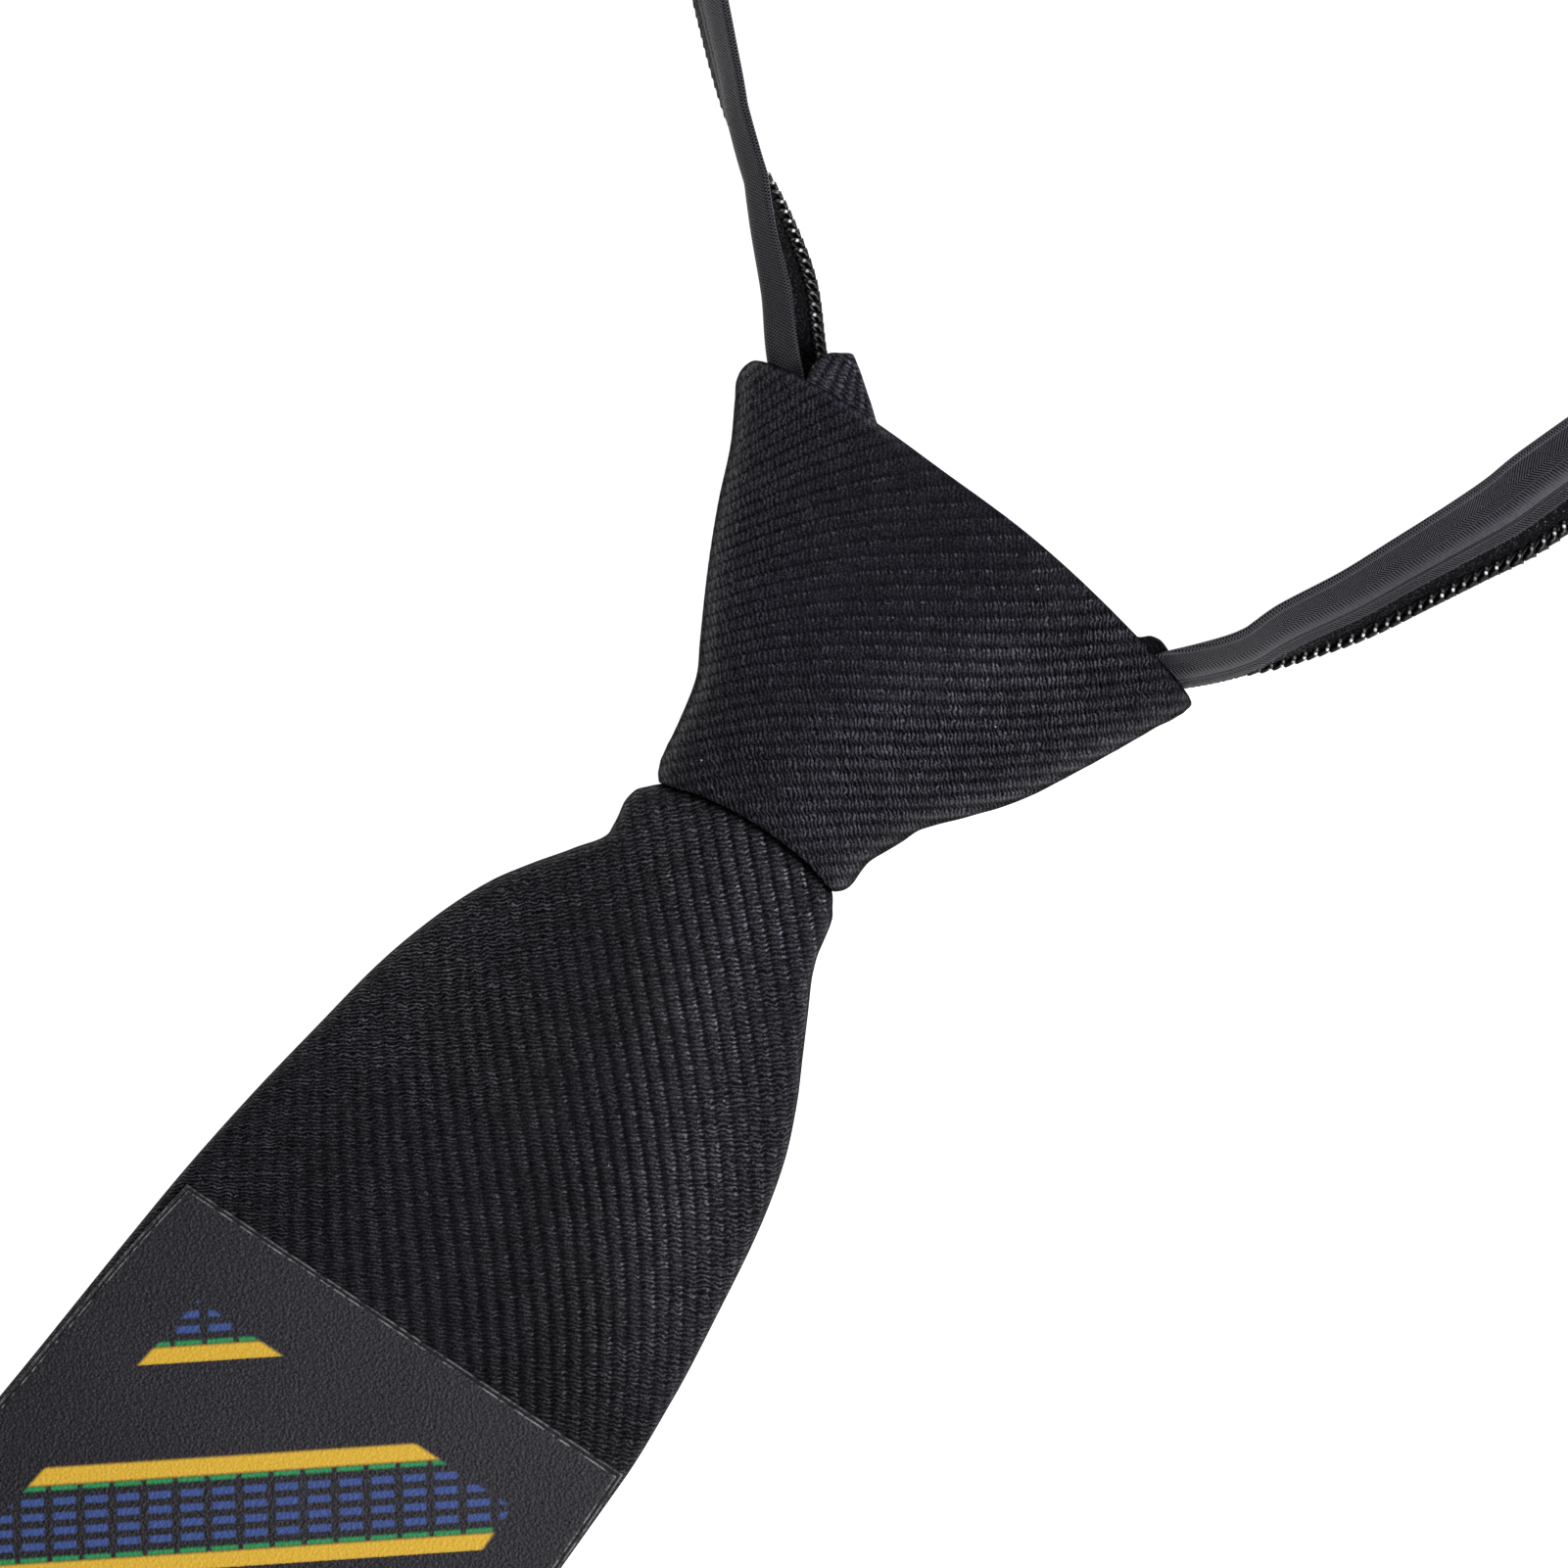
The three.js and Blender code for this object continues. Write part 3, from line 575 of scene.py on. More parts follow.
# How far the print stays from the film's edges, and how much it sits askew.
PRINT_LEFT = (9.07, 9.58)
PRINT_RIGHT = (8.27, 8.78)
PRINT_END = (9.82, 10.33)
SIDE_ASKEW = 0.042
END_ASKEW = 0.036
FILM_TINTS = ((0.0050, 0.0046, 0.0065), (0.0192, 0.0176, 0.0242))
HALO_TINT = (0.050, 0.020, 0.010)
BLUE_INK = (0.029, 0.055, 0.178)
GREEN_INK = (0.014, 0.19, 0.061)
YELLOW_INK = (0.51, 0.31, 0.026)
RIM_DARK = (0.008, 0.008, 0.009)
RIM_LIGHT = (0.27, 0.27, 0.28)


def panel_material():
    """Pebbled film with a striped print and a welded rim. "drawing" holds a point's place and
    its distance from the rim, "inset" its distances from the left, the right and the ends."""
    g = Graph("printed_film")
    x, y, rim = g.field("drawing")
    from_left, from_right, from_end = g.field("inset")
    place = g.vector(x, y)
    cos, sin = math.cos(STRIPE_ANGLE), math.sin(STRIPE_ANGLE)
    run = x * cos + y * sin
    rise = (y * cos - x * sin) + (g.noise(place, 1.7) - 0.5) * 0.12
    band = rise - STRIPE_START
    band = band - g.math("FLOOR", band / STRIPE_PERIOD) * STRIPE_PERIOD

    def on_lines(lines, soft):
        return g.within(band, *lines[0], soft) + g.within(band, *lines[1], soft)

    row = g.from_half((band - BLUE_START) / BLUE_PITCH)
    blue = g.ramp(row, 0.30, 0.68, 1.0, 0.0) * g.within(band, *BLUE_BAND, 0.05)
    lean = (-100.0 - rise) * DASH_LEAN
    column = g.from_half((run + lean - DASH_START) / DASH_PITCH)
    blue = blue * g.ramp(column, 0.60, 0.82, 1.0, 0.0)
    green = on_lines(GREEN_LINES, 0.2) * g.ramp(column, 0.74, 0.92, 1.0, 0.0)
    from_left = from_left + (-139.0 - g.math("MAXIMUM", y, -160.0)) * SIDE_ASKEW
    from_end = from_end + (x - 6.5) * g.ramp(y, -200.0, -170.0, 0.0, END_ASKEW)
    inside = g.ramp(from_left, *PRINT_LEFT) * g.ramp(from_right, *PRINT_RIGHT)
    inside = inside * g.ramp(from_end, *PRINT_END)
    grain = g.noise(place, 3.4, 2.0, 0.55)
    film = g.mix(g.ramp(grain, 0.36, 0.66), *FILM_TINTS)
    film = g.scaled(film, g.ramp(g.noise(place, 0.05), 0.3, 0.7, 0.9, 1.1))
    film = g.scaled(film, g.ramp(y, -142.0, -132.0, 0.85, 1.0))
    # The yellow ink bleeds a little into the film.
    film = g.mix(on_lines(YELLOW_HALOS, 0.5) * (inside * 0.35), film, HALO_TINT)
    inks = g.mix(blue * inside, film, BLUE_INK)
    inks = g.mix(green * inside, inks, GREEN_INK)
    inks = g.mix(on_lines(YELLOW_LINES, 0.24) * inside, inks, YELLOW_INK)
    inks = g.scaled(inks, g.ramp(grain, 0.25, 0.75, 0.9, 1.1))
    # The rim has a dark weld between two lines of light that break off here and there.
    torn = g.ramp(g.noise(place, 0.7, 4.0, 0.75), 0.42, 0.60)
    lights = g.within(rim, 0.02, 0.2, 0.06) * 0.45 + g.within(rim, 0.55, 0.7, 0.05) * 0.7
    inks = g.mix(g.within(rim, 0.3, 0.45, 0.06) * 0.85, inks, RIM_DARK)
    pebble = g.cells(g.shaken(place, 0.9, 0.35), 2.9, feature="SMOOTH_F1")
    return g.finish(
        Base_Color=g.mix(lights * torn, inks, RIM_LIGHT),
        Roughness=0.5,
        Specular_IOR_Level=0.17,
        Normal=g.bump(pebble * 0.8 + grain * 0.45, 0.00016, 0.9),
    )


def metal_material():
    g = Graph("dark_nickel")
    place = g.place()
    wear = g.noise(place, 0.8, 4.0, 0.6)
    return g.finish(
        Base_Color=g.mix(g.ramp(wear, 0.35, 0.7), (0.05, 0.05, 0.052), (0.13, 0.13, 0.135)),
        Metallic=1.0,
        Roughness=g.ramp(wear, 0.3, 0.7, 0.3, 0.5),
        Normal=g.bump(g.noise(place, 3.0, 3.0), 0.00003, 0.5),
    )


KNOT_CLOTH = cloth_material("corded_cloth", KNOT_TINTS)
BLADE_CLOTH = cloth_material("corded_cloth_low", BLADE_TINTS)
TAPE = tape_material()


# How the weave runs over the cloth.

THREAD_PITCH = 0.48
WRAP_RIB_PITCH = 1.4
LINING_RIB_PITCH = 2.05
EYE = (-0.24, -35.4, 908.0)
DRAWN_LEVEL = 8.0
RUN_X, KNOT_RUN_Y, BLADE_RUN_Y = 30.0, 40.0, 80.0
# Beyond these shares of the way to the side, the weave is carried on evenly. Where the blade is
# wide, that way counts as BLADE_RUN_HALF long.
KNOT_RUN_SIDE, BLADE_RUN_SIDE = 0.93, 0.9
BLADE_RUN_HALF = 31.0
# Below this y the blade's ribs and threads are even, so many a millimetre.
BLADE_RUN_END = -112.0
RIBS_BELOW, THREADS_BELOW = 0.33, -1.75
# Sums of powers: power of x, power of y, how many ribs or threads.
KNOT_RIBS = [
    (0, 1, 16.41), (0, 2, -4.77), (0, 3, -0.77), (0, 4, 1.19), (1, 0, -9.27), (1, 1, 0.96),
    (1, 2, -1.33), (1, 3, 0.20), (2, 0, 1.33), (2, 1, -0.63), (2, 2, -0.61), (3, 0, -3.70),
    (3, 1, 4.03), (4, 0, 0.99),
]
KNOT_THREADS = [(0, 1, 51.36), (0, 2, -7.28), (1, 0, 46.02), (1, 1, 8.10), (2, 0, 2.14)]
BLADE_RIBS = [
    (0, 1, 20.07), (0, 2, -15.08), (0, 3, -6.58), (1, 0, 9.53), (1, 1, -3.71), (1, 2, -2.21),
    (2, 0, -1.69), (2, 1, -1.72), (3, 0, 2.16),
]
BLADE_THREADS = [(0, 1, -70.03), (0, 2, 28.52), (1, 0, 47.82), (1, 1, 11.93), (2, 0, -4.71)]
# How the weave looks around some places: x, y, threads, bands, lines, glints. The bands and
# lines are painted light and shade on the ribs, and the glints are painted highlights.
KNOT_LOOK_REACH, BLADE_LOOK_REACH = 6.0, 6.5
KNOT_LOOK = [
    (-27, -3, 0.48, 0.10, 0.50, 0.00), (-18, -2, 0.34, 0.08, 0.42, 0.12),
    (-10, -2, 0.24, 0.06, 0.15, 0.30), (-22, -16, 0.58, 0.12, 0.60, 0.00),
    (-14, -14, 0.28, 0.08, 0.30, 0.26), (-16, -28, 0.58, 0.12, 0.45, 0.00),
    (-8, -12, 0.22, 0.08, 0.05, 0.34), (-6, -26, 0.42, 0.20, 0.00, 0.28),
    (-2, -38, 0.68, 0.16, 0.00, 0.15), (-10, -40, 0.56, 0.20, 0.20, 0.00),
    (0, -4, 0.28, 0.12, 0.05, 0.36), (2, -14, 0.34, 0.22, 0.05, 0.44),
    (5, -30, 0.70, 0.44, 0.00, 0.24), (8, -38, 0.66, 0.34, 0.00, 0.15),
    (12, -8, 0.54, 0.45, 0.05, 0.44), (15, -20, 0.72, 0.46, 0.00, 0.26),
    (20, -4, 0.80, 0.50, 0.05, 0.30), (22, -14, 0.68, 0.38, 0.00, 0.20),
    (28, -3, 0.62, 0.30, 0.00, 0.05), (10, 0, 0.34, 0.14, 0.00, 0.48),
]
BLADE_LOOK = [
    (-12, -46, 0.66, 0.14, 0.30, 0.08), (-10, -52, 0.60, 0.14, 0.10, 0.16),
    (0, -50, 0.48, 0.32, 0.38, 0.44), (8, -50, 0.50, 0.30, 0.65, 0.60),
    (12, -48, 0.50, 0.18, 0.30, 0.80), (14, -54, 0.68, 0.08, 0.00, 0.05),
    (-16, -64, 0.76, 0.10, 0.00, 0.05), (-5, -64, 0.36, 0.25, 0.10, 0.26),
    (5, -64, 0.34, 0.32, 0.35, 0.46), (13, -64, 0.48, 0.24, 0.45, 0.70),
    (19, -66, 0.66, 0.10, 0.00, 0.05), (-22, -80, 0.86, 0.12, 0.00, 0.00),
    (-12, -80, 0.62, 0.30, 0.10, 0.12), (0, -80, 0.32, 0.23, 0.05, 0.34),
    (10, -80, 0.38, 0.40, 0.30, 0.42), (20, -80, 0.50, 0.36, 0.30, 0.60),
    (26, -80, 0.64, 0.10, 0.00, 0.05), (-27, -98, 0.70, 0.14, 0.00, 0.00),
    (-12, -98, 0.48, 0.32, 0.00, 0.16), (0, -98, 0.34, 0.28, 0.05, 0.30),
    (12, -98, 0.38, 0.38, 0.10, 0.28), (24, -98, 0.50, 0.34, 0.20, 0.50),
    (29, -100, 0.56, 0.14, 0.00, 0.00), (0, -112, 0.40, 0.34, 0.00, 0.12),
    (0, -140, 0.42, 0.28, 0.00, 0.08),
]
# A painted highlight runs along a line down the knot and the blade: y and x of that line.
KNOT_HIGHLIGHT_REACH, BLADE_HIGHLIGHT_REACH = 7.0, 8.0
KNOT_HIGHLIGHT_LINE = [(-42.0, 8.0), (-30.0, 5.0), (-20.0, 6.0), (-8.0, 12.0), (2.0, 18.0)]
BLADE_HIGHLIGHT_LINE = [
    (-108.0, 27.0), (-98.0, 24.0), (-80.0, 18.0), (-64.0, 9.0), (-52.0, 5.0), (-44.0, 3.0),
]
# Where the knot has painted shade: by how much, and between which x and which y that comes in.
KNOT_SHADES = [(0.09, (2.0, 8.0), (-26.0, -34.0)), (0.07, (14.0, 20.0), (-12.0, -4.0))]


def seen(points):
    """x and y of points as the eye above the middle sees them on the level of the drawing."""
    eye = np.array(EYE)
    grow = ((eye[2] - DRAWN_LEVEL) / (eye[2] - points[:, :, 2]))[:, :, None]
    flat = eye[:2] + (points[:, :, :2] - eye[:2]) * grow
    return flat[:, :, 0], flat[:, :, 1]


def weave_run(table, x, y, scale_y):
    return sum(amount * (x / RUN_X) ** i * (y / scale_y) ** j for i, j, amount in table)


def continued(values, s, q, limit):
    """Values kept where q is within the limit, and carried on evenly along s beyond it."""
    result = values.copy()
    for row, (line, at, share) in enumerate(zip(values, s, q)):
        inside = np.where(np.abs(share) <= limit)[0]
        first, last = inside[np.argmin(share[inside])], inside[np.argmax(share[inside])]
        ends = ((first, first + 6, at < at[first]), (last, last - 6, at > at[last]))
        for end, near, beyond in ends:
            slope = (line[near] - line[end]) / (at[near] - at[end])
            result[row, beyond] = line[end] + slope * (at[beyond] - at[end])
    return result


def look_around(table, x, y, reach):
    """The four numbers of the table's places, blended by how near they are."""
    total, weights = 0.0, 1e-9
    for row in table:
        weight = np.exp(-((x - row[0]) ** 2 + (y - row[1]) ** 2) / reach**2) + 1e-9
        total = total + weight[:, :, None] * np.array(row[2:])
        weights = weights + weight
    return total / weights[:, :, None]


def highlight_line_share(table, x, y, reach):
    return hump(x, np.interp(y, *np.transpose(table)), reach)


def rib_profile(rib):
    """Height across a rib, from 0 to 1."""
    return (0.5 - 0.5 * np.cos(2 * math.pi * rib)) ** 1.2


def rib_relief(rib, look):
    """How far the ribs stand out, which is more where their bands are stronger."""
    return (0.04 + 0.3 * look[:, :, 1]) * (rib_profile(rib) - 0.5)


def steepness(normal):
    return 1 - smooth(0.12, 0.55, np.abs(normal[:, :, 2]))


# The knot's front wrap.

RING_STEPS = 360
KNOT_FRONT_COLUMNS = 226
KNOT_BACK_COLUMNS = 54
KNOT_OUTSIDE_RINGS = 158
KNOT_INSIDE_RINGS = 14


def crown_share(across):
    return (1 - np.abs(across) ** KNOT_SQUARENESS).clip(0) ** (1 / KNOT_SQUARENESS)


def knot_profile():
    """The way round the knot's wall: how many rings lie on its outside, and each ring's place
    down the knot and depth below the surface. It runs down the outside, round the mouth, up
    the inside and over the top edge."""
    top, mouth = KNOT_PLACES[[0, -1]]
    lip, lip_drop, nose = 2.4, 1.55, 0.9
    hem, hem_drop, hem_nose = 1.1, 0.4, 0.5
    fine_top = top + lip * np.array([0.0, 0.01, 0.04, 0.09, 0.16])
    fine_mouth = mouth - hem * np.array([0.16, 0.07, 0.02, 0.0])
    outer = np.linspace(top, mouth, KNOT_OUTSIDE_RINGS)
    outer = outer[(outer > fine_top[-1] + 0.1) & (outer < fine_mouth[0] - 0.1)]
    outer = np.concatenate([fine_top, outer, fine_mouth])
    drop = lip_drop * round_off((outer - top) / lip) + hem_drop * round_off((mouth - outer) / hem)
    turn = np.radians([25, 50, 75, 90])
    inside = np.linspace(mouth - 3.0, top + 6.0, KNOT_INSIDE_RINGS)
    near_top = np.array([(3.0, 2.0), (1.6, 2.4)])
    places = [outer, mouth - hem_nose * (1 - np.cos(turn)), inside]
    places += [top + near_top[:, 0], top + nose * (1 - np.cos(turn[::-1]))]
    insets = [drop, hem_drop + hem_nose * np.sin(turn), np.full(KNOT_INSIDE_RINGS, KNOT_WALL)]
    insets += [near_top[:, 1], lip_drop + nose * np.sin(turn[::-1])]
    return len(outer), np.concatenate(places), np.concatenate(insets)


def knot_rings(places, insets):
    """Closed rings of the knot, RING_STEPS points from the left side over the front."""
    rows = through(KNOT_PLACES, KNOT_ROWS, places)[:, :, None]
    left_x, left_y, right_x, right_y, bow, height, edge, back = rows.transpose(1, 0, 2)
    inset = insets[:, None]
    angle = math.pi - np.arange(RING_STEPS) * 2 * math.pi / RING_STEPS
    cosine, sine = np.cos(angle)[None, :], np.sin(angle)[None, :]
    across = np.sign(cosine) * np.abs(cosine) ** (2 / KNOT_SQUARENESS)
    x = slanted(left_x + inset, right_x - inset, across)
    behind = (-sine / KNOT_BACK_FLAT).clip(0, 1)
    y = slanted(left_y, right_y, across) + bow * (1 - across**2) - back * behind
    front = edge + (height - inset - edge) * crown_share(across)
    rear = edge - (edge - inset) * np.sin(behind * math.pi / 2)
    z = np.where(behind > 0, rear, front)
    return np.stack(np.broadcast_arrays(x, y, z), axis=-1)


def pull_knot(rings, places):
    """Move the rings where the cloth is pulled out of its even shape."""
    x, y = rings[:, :, 0], rings[:, :, 1]
    down = places[:, None]
    # Both corners of the mouth are pulled outwards, and its middle is nearer the neck.
    right = smooth(37.0, 41.0, down) * smooth(0.0, 12.0, x)
    x += 0.55 * right
    y -= 0.25 * right
    left = smooth(0.0, 10.0, -x)
    x -= 0.5 * smooth(29.0, 37.0, down) * left
    y -= 0.2 * smooth(37.0, 41.0, down) * left
    y += 0.4 * smooth(38.0, 41.5, down) * (1 - smooth(7.0, 11.0, np.abs(x)))
    # The right side is a little fuller just above the mouth.
    x += 0.6 * hump(y, -33.6, 3.0) * smooth(0.0, 11.0, x)
    # The top edge sags left of the middle, and the right ear reaches out.
    y -= 0.45 * hump(x, -6.0, 9.0) * (1 - smooth(-3.0, 3.0, down))
    x += 0.75 * (1 - smooth(-1.0, 1.6, down)) * smooth(20.0, 31.0, x)


def even_columns(rings):
    """The rings with even columns along the front and along the back of each."""
    half = RING_STEPS // 2
    result = []
    for ring in np.concatenate([rings, rings[:, :1]], axis=1):
        parts = ((ring[:half + 1], KNOT_FRONT_COLUMNS), (ring[half:], KNOT_BACK_COLUMNS))
        line = []
        for part, count in parts:
            at = lengths(part)
            want = at[-1] * np.arange(count) / count
            line.append(np.stack([np.interp(want, at, part[:, k]) for k in range(3)], axis=1))
        result.append(np.concatenate(line))
    return np.array(result)


def build_knot():
    top, mouth = KNOT_PLACES[[0, -1]]
    outer_rows, places, insets = knot_profile()
    rings = knot_rings(places, insets)
    pull_knot(rings, places)
    rings = even_columns(rings)
    rows, columns = rings.shape[:2]

    # Length round each ring from the front's middle, and its share of the way to the side.
    round_length = lengths(np.concatenate([rings, rings[:, :1]], axis=1), axis=1)
    half = round_length[:, KNOT_FRONT_COLUMNS:KNOT_FRONT_COLUMNS + 1] / 2
    total = round_length[:, -1:]
    s = round_length[:, :columns] - half
    s = np.where(s > total / 2, s - total, s)
    side = s / half
    x, y = seen(rings)
    rib, thread = (continued(weave_run(table, x, y, KNOT_RUN_Y), s, side, KNOT_RUN_SIDE)
                   for table in (KNOT_RIBS, KNOT_THREADS))
    look = look_around(KNOT_LOOK, x, y, KNOT_LOOK_REACH)
    normal = normals_of(rings, outer_rows // 2, KNOT_FRONT_COLUMNS // 2)

    # Painted highlight along a line down the knot, painted shade beside the mouth and at the right
    # ear, lighter towards both sides, and painted shade and matt on the steep sides.
    steep = steepness(normal)
    painted_highlight = highlight_line_share(KNOT_HIGHLIGHT_LINE, x, y, KNOT_HIGHLIGHT_REACH) * (1 - 0.7 * smooth(-9.0, -2.0, y))
    tone = 0.43 + 0.24 * painted_highlight
    for amount, x_rise, y_rise in KNOT_SHADES:
        tone -= amount * smooth(*x_rise, x) * smooth(*y_rise, y)
    tone += np.where(side < 0, 0.42, 0.16) * np.abs(side).clip(0, 1) ** 2
    tone *= 1 - 0.8 * steep
    # A painted highlight runs along the top fold beside the left ear.
    from_fold = places[:, None] - top
    from_fold[outer_rows:] = 9.0
    fold_highlight = hump(from_fold, 0.35, 0.3) * smooth(-30, -26, x) * (1 - smooth(-16, -10, x))
    tone *= 1 + 2.0 * fold_highlight
    matt = np.maximum(steep, 1 - smooth(0.0, 1.4, from_fold))

    # Relief on the outside only: the ribs, and broad dents of cloth pulled tight.
    fade = smooth(0.0, 1.2, places - top) * smooth(0.0, 0.6, mouth - places)
    fade[outer_rows:] = 0.0
    shown = fade[:, None] * (np.abs(side) < 1.15)
    push = rib_relief(rib, look) * (1 - 0.9 * smooth(0.85, 0.97, np.abs(side)))
    dent = 0.175 * np.sin(0.16 * x + 0.11 * y + 1.0) * np.sin(0.09 * x - 0.2 * y)
    push += dent * (1 - smooth(0.75, 1.0, np.abs(side)))
    return solid_piece(
        "knot_wrap_cloth", rings + normal * (push * shown)[:, :, None],
        grid_faces(rows, columns, wrap=True, endless=True), KNOT_CLOTH, "tie_cloth", "knot_wrap",
        weave=np.stack([rib, thread, look[:, :, 3]], axis=-1), look=look[:, :, :3],
        tone=np.stack([tone, matt], axis=-1),
    )


def knot_ceiling(x, y):
    """Height of the inside of the knot's front, as the CAD source has it."""
    left_x, left_y, right_x, right_y, bow, top, edge, _ = KNOT_ROWS.T
    half = (right_x - left_x) / 2 - KNOT_WALL
    across = ((x - (left_x + right_x) / 2) / half).clip(-1, 1)
    place = slanted(left_y, right_y, across) + bow * (1 - across**2)
    height = edge + (top - KNOT_WALL - edge) * crown_share(across)
    below = max(int(np.argmax(place <= y)), 1) if (place <= y).any() else len(place) - 1
    share = (y - place[below - 1]) / (place[below] - place[below - 1])
    return height[below - 1] + (height[below] - height[below - 1]) * min(max(share, 0.0), 1.0)


def build_inner_wrap():
    """The layer above the front wrap's top edge: a folded edge that goes down inside. Its
    left part is corded, and its right end is smooth."""
    count, depth_count = 300, 30
    across = np.linspace(INNER_WRAP_ROWS[0, 0], INNER_WRAP_ROWS[-1, 0], count)[:, None]
    tops = through(INNER_WRAP_ROWS[:, 0], INNER_WRAP_ROWS[:, 1], across[:, 0])
    r = INNER_WRAP_WALL / 2
    depths = np.concatenate([[0.0, 0.006, 0.02, 0.045], np.linspace(0.07, 1.0, depth_count - 4)])
    y = tops + (INNER_WRAP_END - tops) * depths
    x = across * (1 + (INNER_WRAP_TAPER - 1) * depths)
    ceiling = np.array([knot_ceiling(a, b) for a, b in zip(x.ravel(), y.ravel())])
    side_round, passes = 0.8, 10
    from_side = np.minimum(across - across[0], across[-1] - across) / side_round
    curve = r * round_off(np.minimum((tops - y) / r, from_side))
    z = ceiling.reshape(x.shape) - 4 * GAP - curve
    front = np.stack([x, y, z], axis=-1)
    back = np.stack([x, y, z - 2 * r + 2 * curve], axis=-1)
    # Smooth the heights along the sheet, because the table that they follow has flat spans.
    for sheet in (front, back):
        for _ in range(passes):
            sheet[1:-1, :, 2] = (sheet[:-2, :, 2] + 2 * sheet[1:-1, :, 2] + sheet[2:, :, 2]) / 4
    corded = 1 - smooth(17.0, 20.0, x)
    lean = 0.7 * smooth(-25.0, -18.0, x)
    rib = (x + lean * (y - 6.0)) / WRAP_RIB_PITCH * corded + 0.45 * (1 - corded)
    inward = corded * smooth(0.0, 0.9, tops - y)
    front[:, :, 2] += 0.14 * (rib_profile(rib) - 0.5) * smooth(-1.0, 1.0, y) * inward
    points, faces = closed_sheets(front, back)
    # The smooth right end is painted far darker than the corded part: painted shade.
    return solid_piece(
        "knot_inner_wrap_cloth", points, faces, KNOT_CLOTH, "tie_cloth", "knot_inner_wrap",
        weave=np.stack([rib, y / THREAD_PITCH, 0.1 * corded], axis=-1),
        look=np.stack([0.25 + 0.2 * corded, 0.35 * inward, 0.2 * inward], axis=-1),
        tone=(0.2 + 0.85 * corded)[:, :, None],
    )


# The blade.

# How many points each flap, each fold, the front and the flaps' step have.
OUTER_PARTS = (12, 12, 172, 5)
INNER_PARTS = (5, 5, 16, 3)
FINE_END = 116.0
FINE_PITCH, PLAIN_PITCH, HIDDEN_PITCH = 0.32, 1.5, 4.0
LEVEL_ROW = 100


def blade_section(half, thick, crown, parts):
    """Middle line of the folded cloth at even places of each part, from the lower flap's free
    edge round the left fold, over the front and round the right fold to the upper flap's."""
    overlap = FLAP_OVERLAP * half
    low = BLADE_WALL / 2
    raised = low + BLADE_WALL + GAP
    radius = (thick - BLADE_WALL) / 2
    shoulder = half - low - radius
    bend = min(1.9 * overlap, shoulder - 0.6)
    flap, fold, front, step = (np.arange(count) / count for count in parts)
    turn = math.pi * fold
    across = 2 * front - 1
    spans = [
        (overlap - (shoulder + overlap) * flap, low),
        (-shoulder - radius * np.sin(turn), low + radius * (1 - np.cos(turn))),
        (across * shoulder, thick - low + crown * (1 - across**2)),
        (shoulder + radius * np.sin(turn), low + radius * (1 + np.cos(turn))),
        (shoulder + (bend - shoulder) * flap, low),
        (bend + (overlap - bend) * step, low + (raised - low) * smooth(0.0, 1.0, step)),
        (overlap * np.linspace(1, -1, parts[0]), raised),
    ]
    return np.concatenate([np.stack(np.broadcast_arrays(x, z), axis=1) for x, z in spans])


def part_shares(parts):
    """Where the points of a section lie along it, each part at its share of the outer line."""
    own, outer = ([flap, fold, front, fold, flap, step, flap - 1]
                  for flap, fold, front, step in (parts, OUTER_PARTS))
    starts = np.cumsum([0] + outer)
    shares = [start + span * np.arange(n) / n for start, span, n in zip(starts, outer, own)]
    return np.append(np.concatenate(shares), starts[-1]) / starts[-1]


def blade_line(row, parts, distance):
    """One row of the cloth's outside or inside, that far from its middle line."""
    left_x, left_y, right_x, right_y, thick, crown, lift, tip = row
    half = (right_x - left_x) / 2
    section = blade_section(half, thick, crown, parts)
    run = unit(np.gradient(section, axis=0))
    section = section + distance * np.stack([-run[:, 1], run[:, 0]], axis=1)
    across = section[:, 0] / half
    y = slanted(left_y, right_y, across) - tip * (1 - np.abs(across))
    return np.stack([(left_x + right_x) / 2 + section[:, 0], y, lift + section[:, 1]], axis=1)


def rolled_end(sheet):
    """The sheet with a round end, where the front bends down to the flaps at the tip."""
    nose, middle = 1.3, 2.2
    ends = []
    for turn in np.radians([20, 40, 60, 75]):
        end = sheet[-1].copy()
        end[:, 2] = middle + (end[:, 2] - middle) * math.cos(turn)
        end[:, 1] -= nose * math.sin(turn)
        ends.append(end)
    return np.concatenate([sheet, ends])


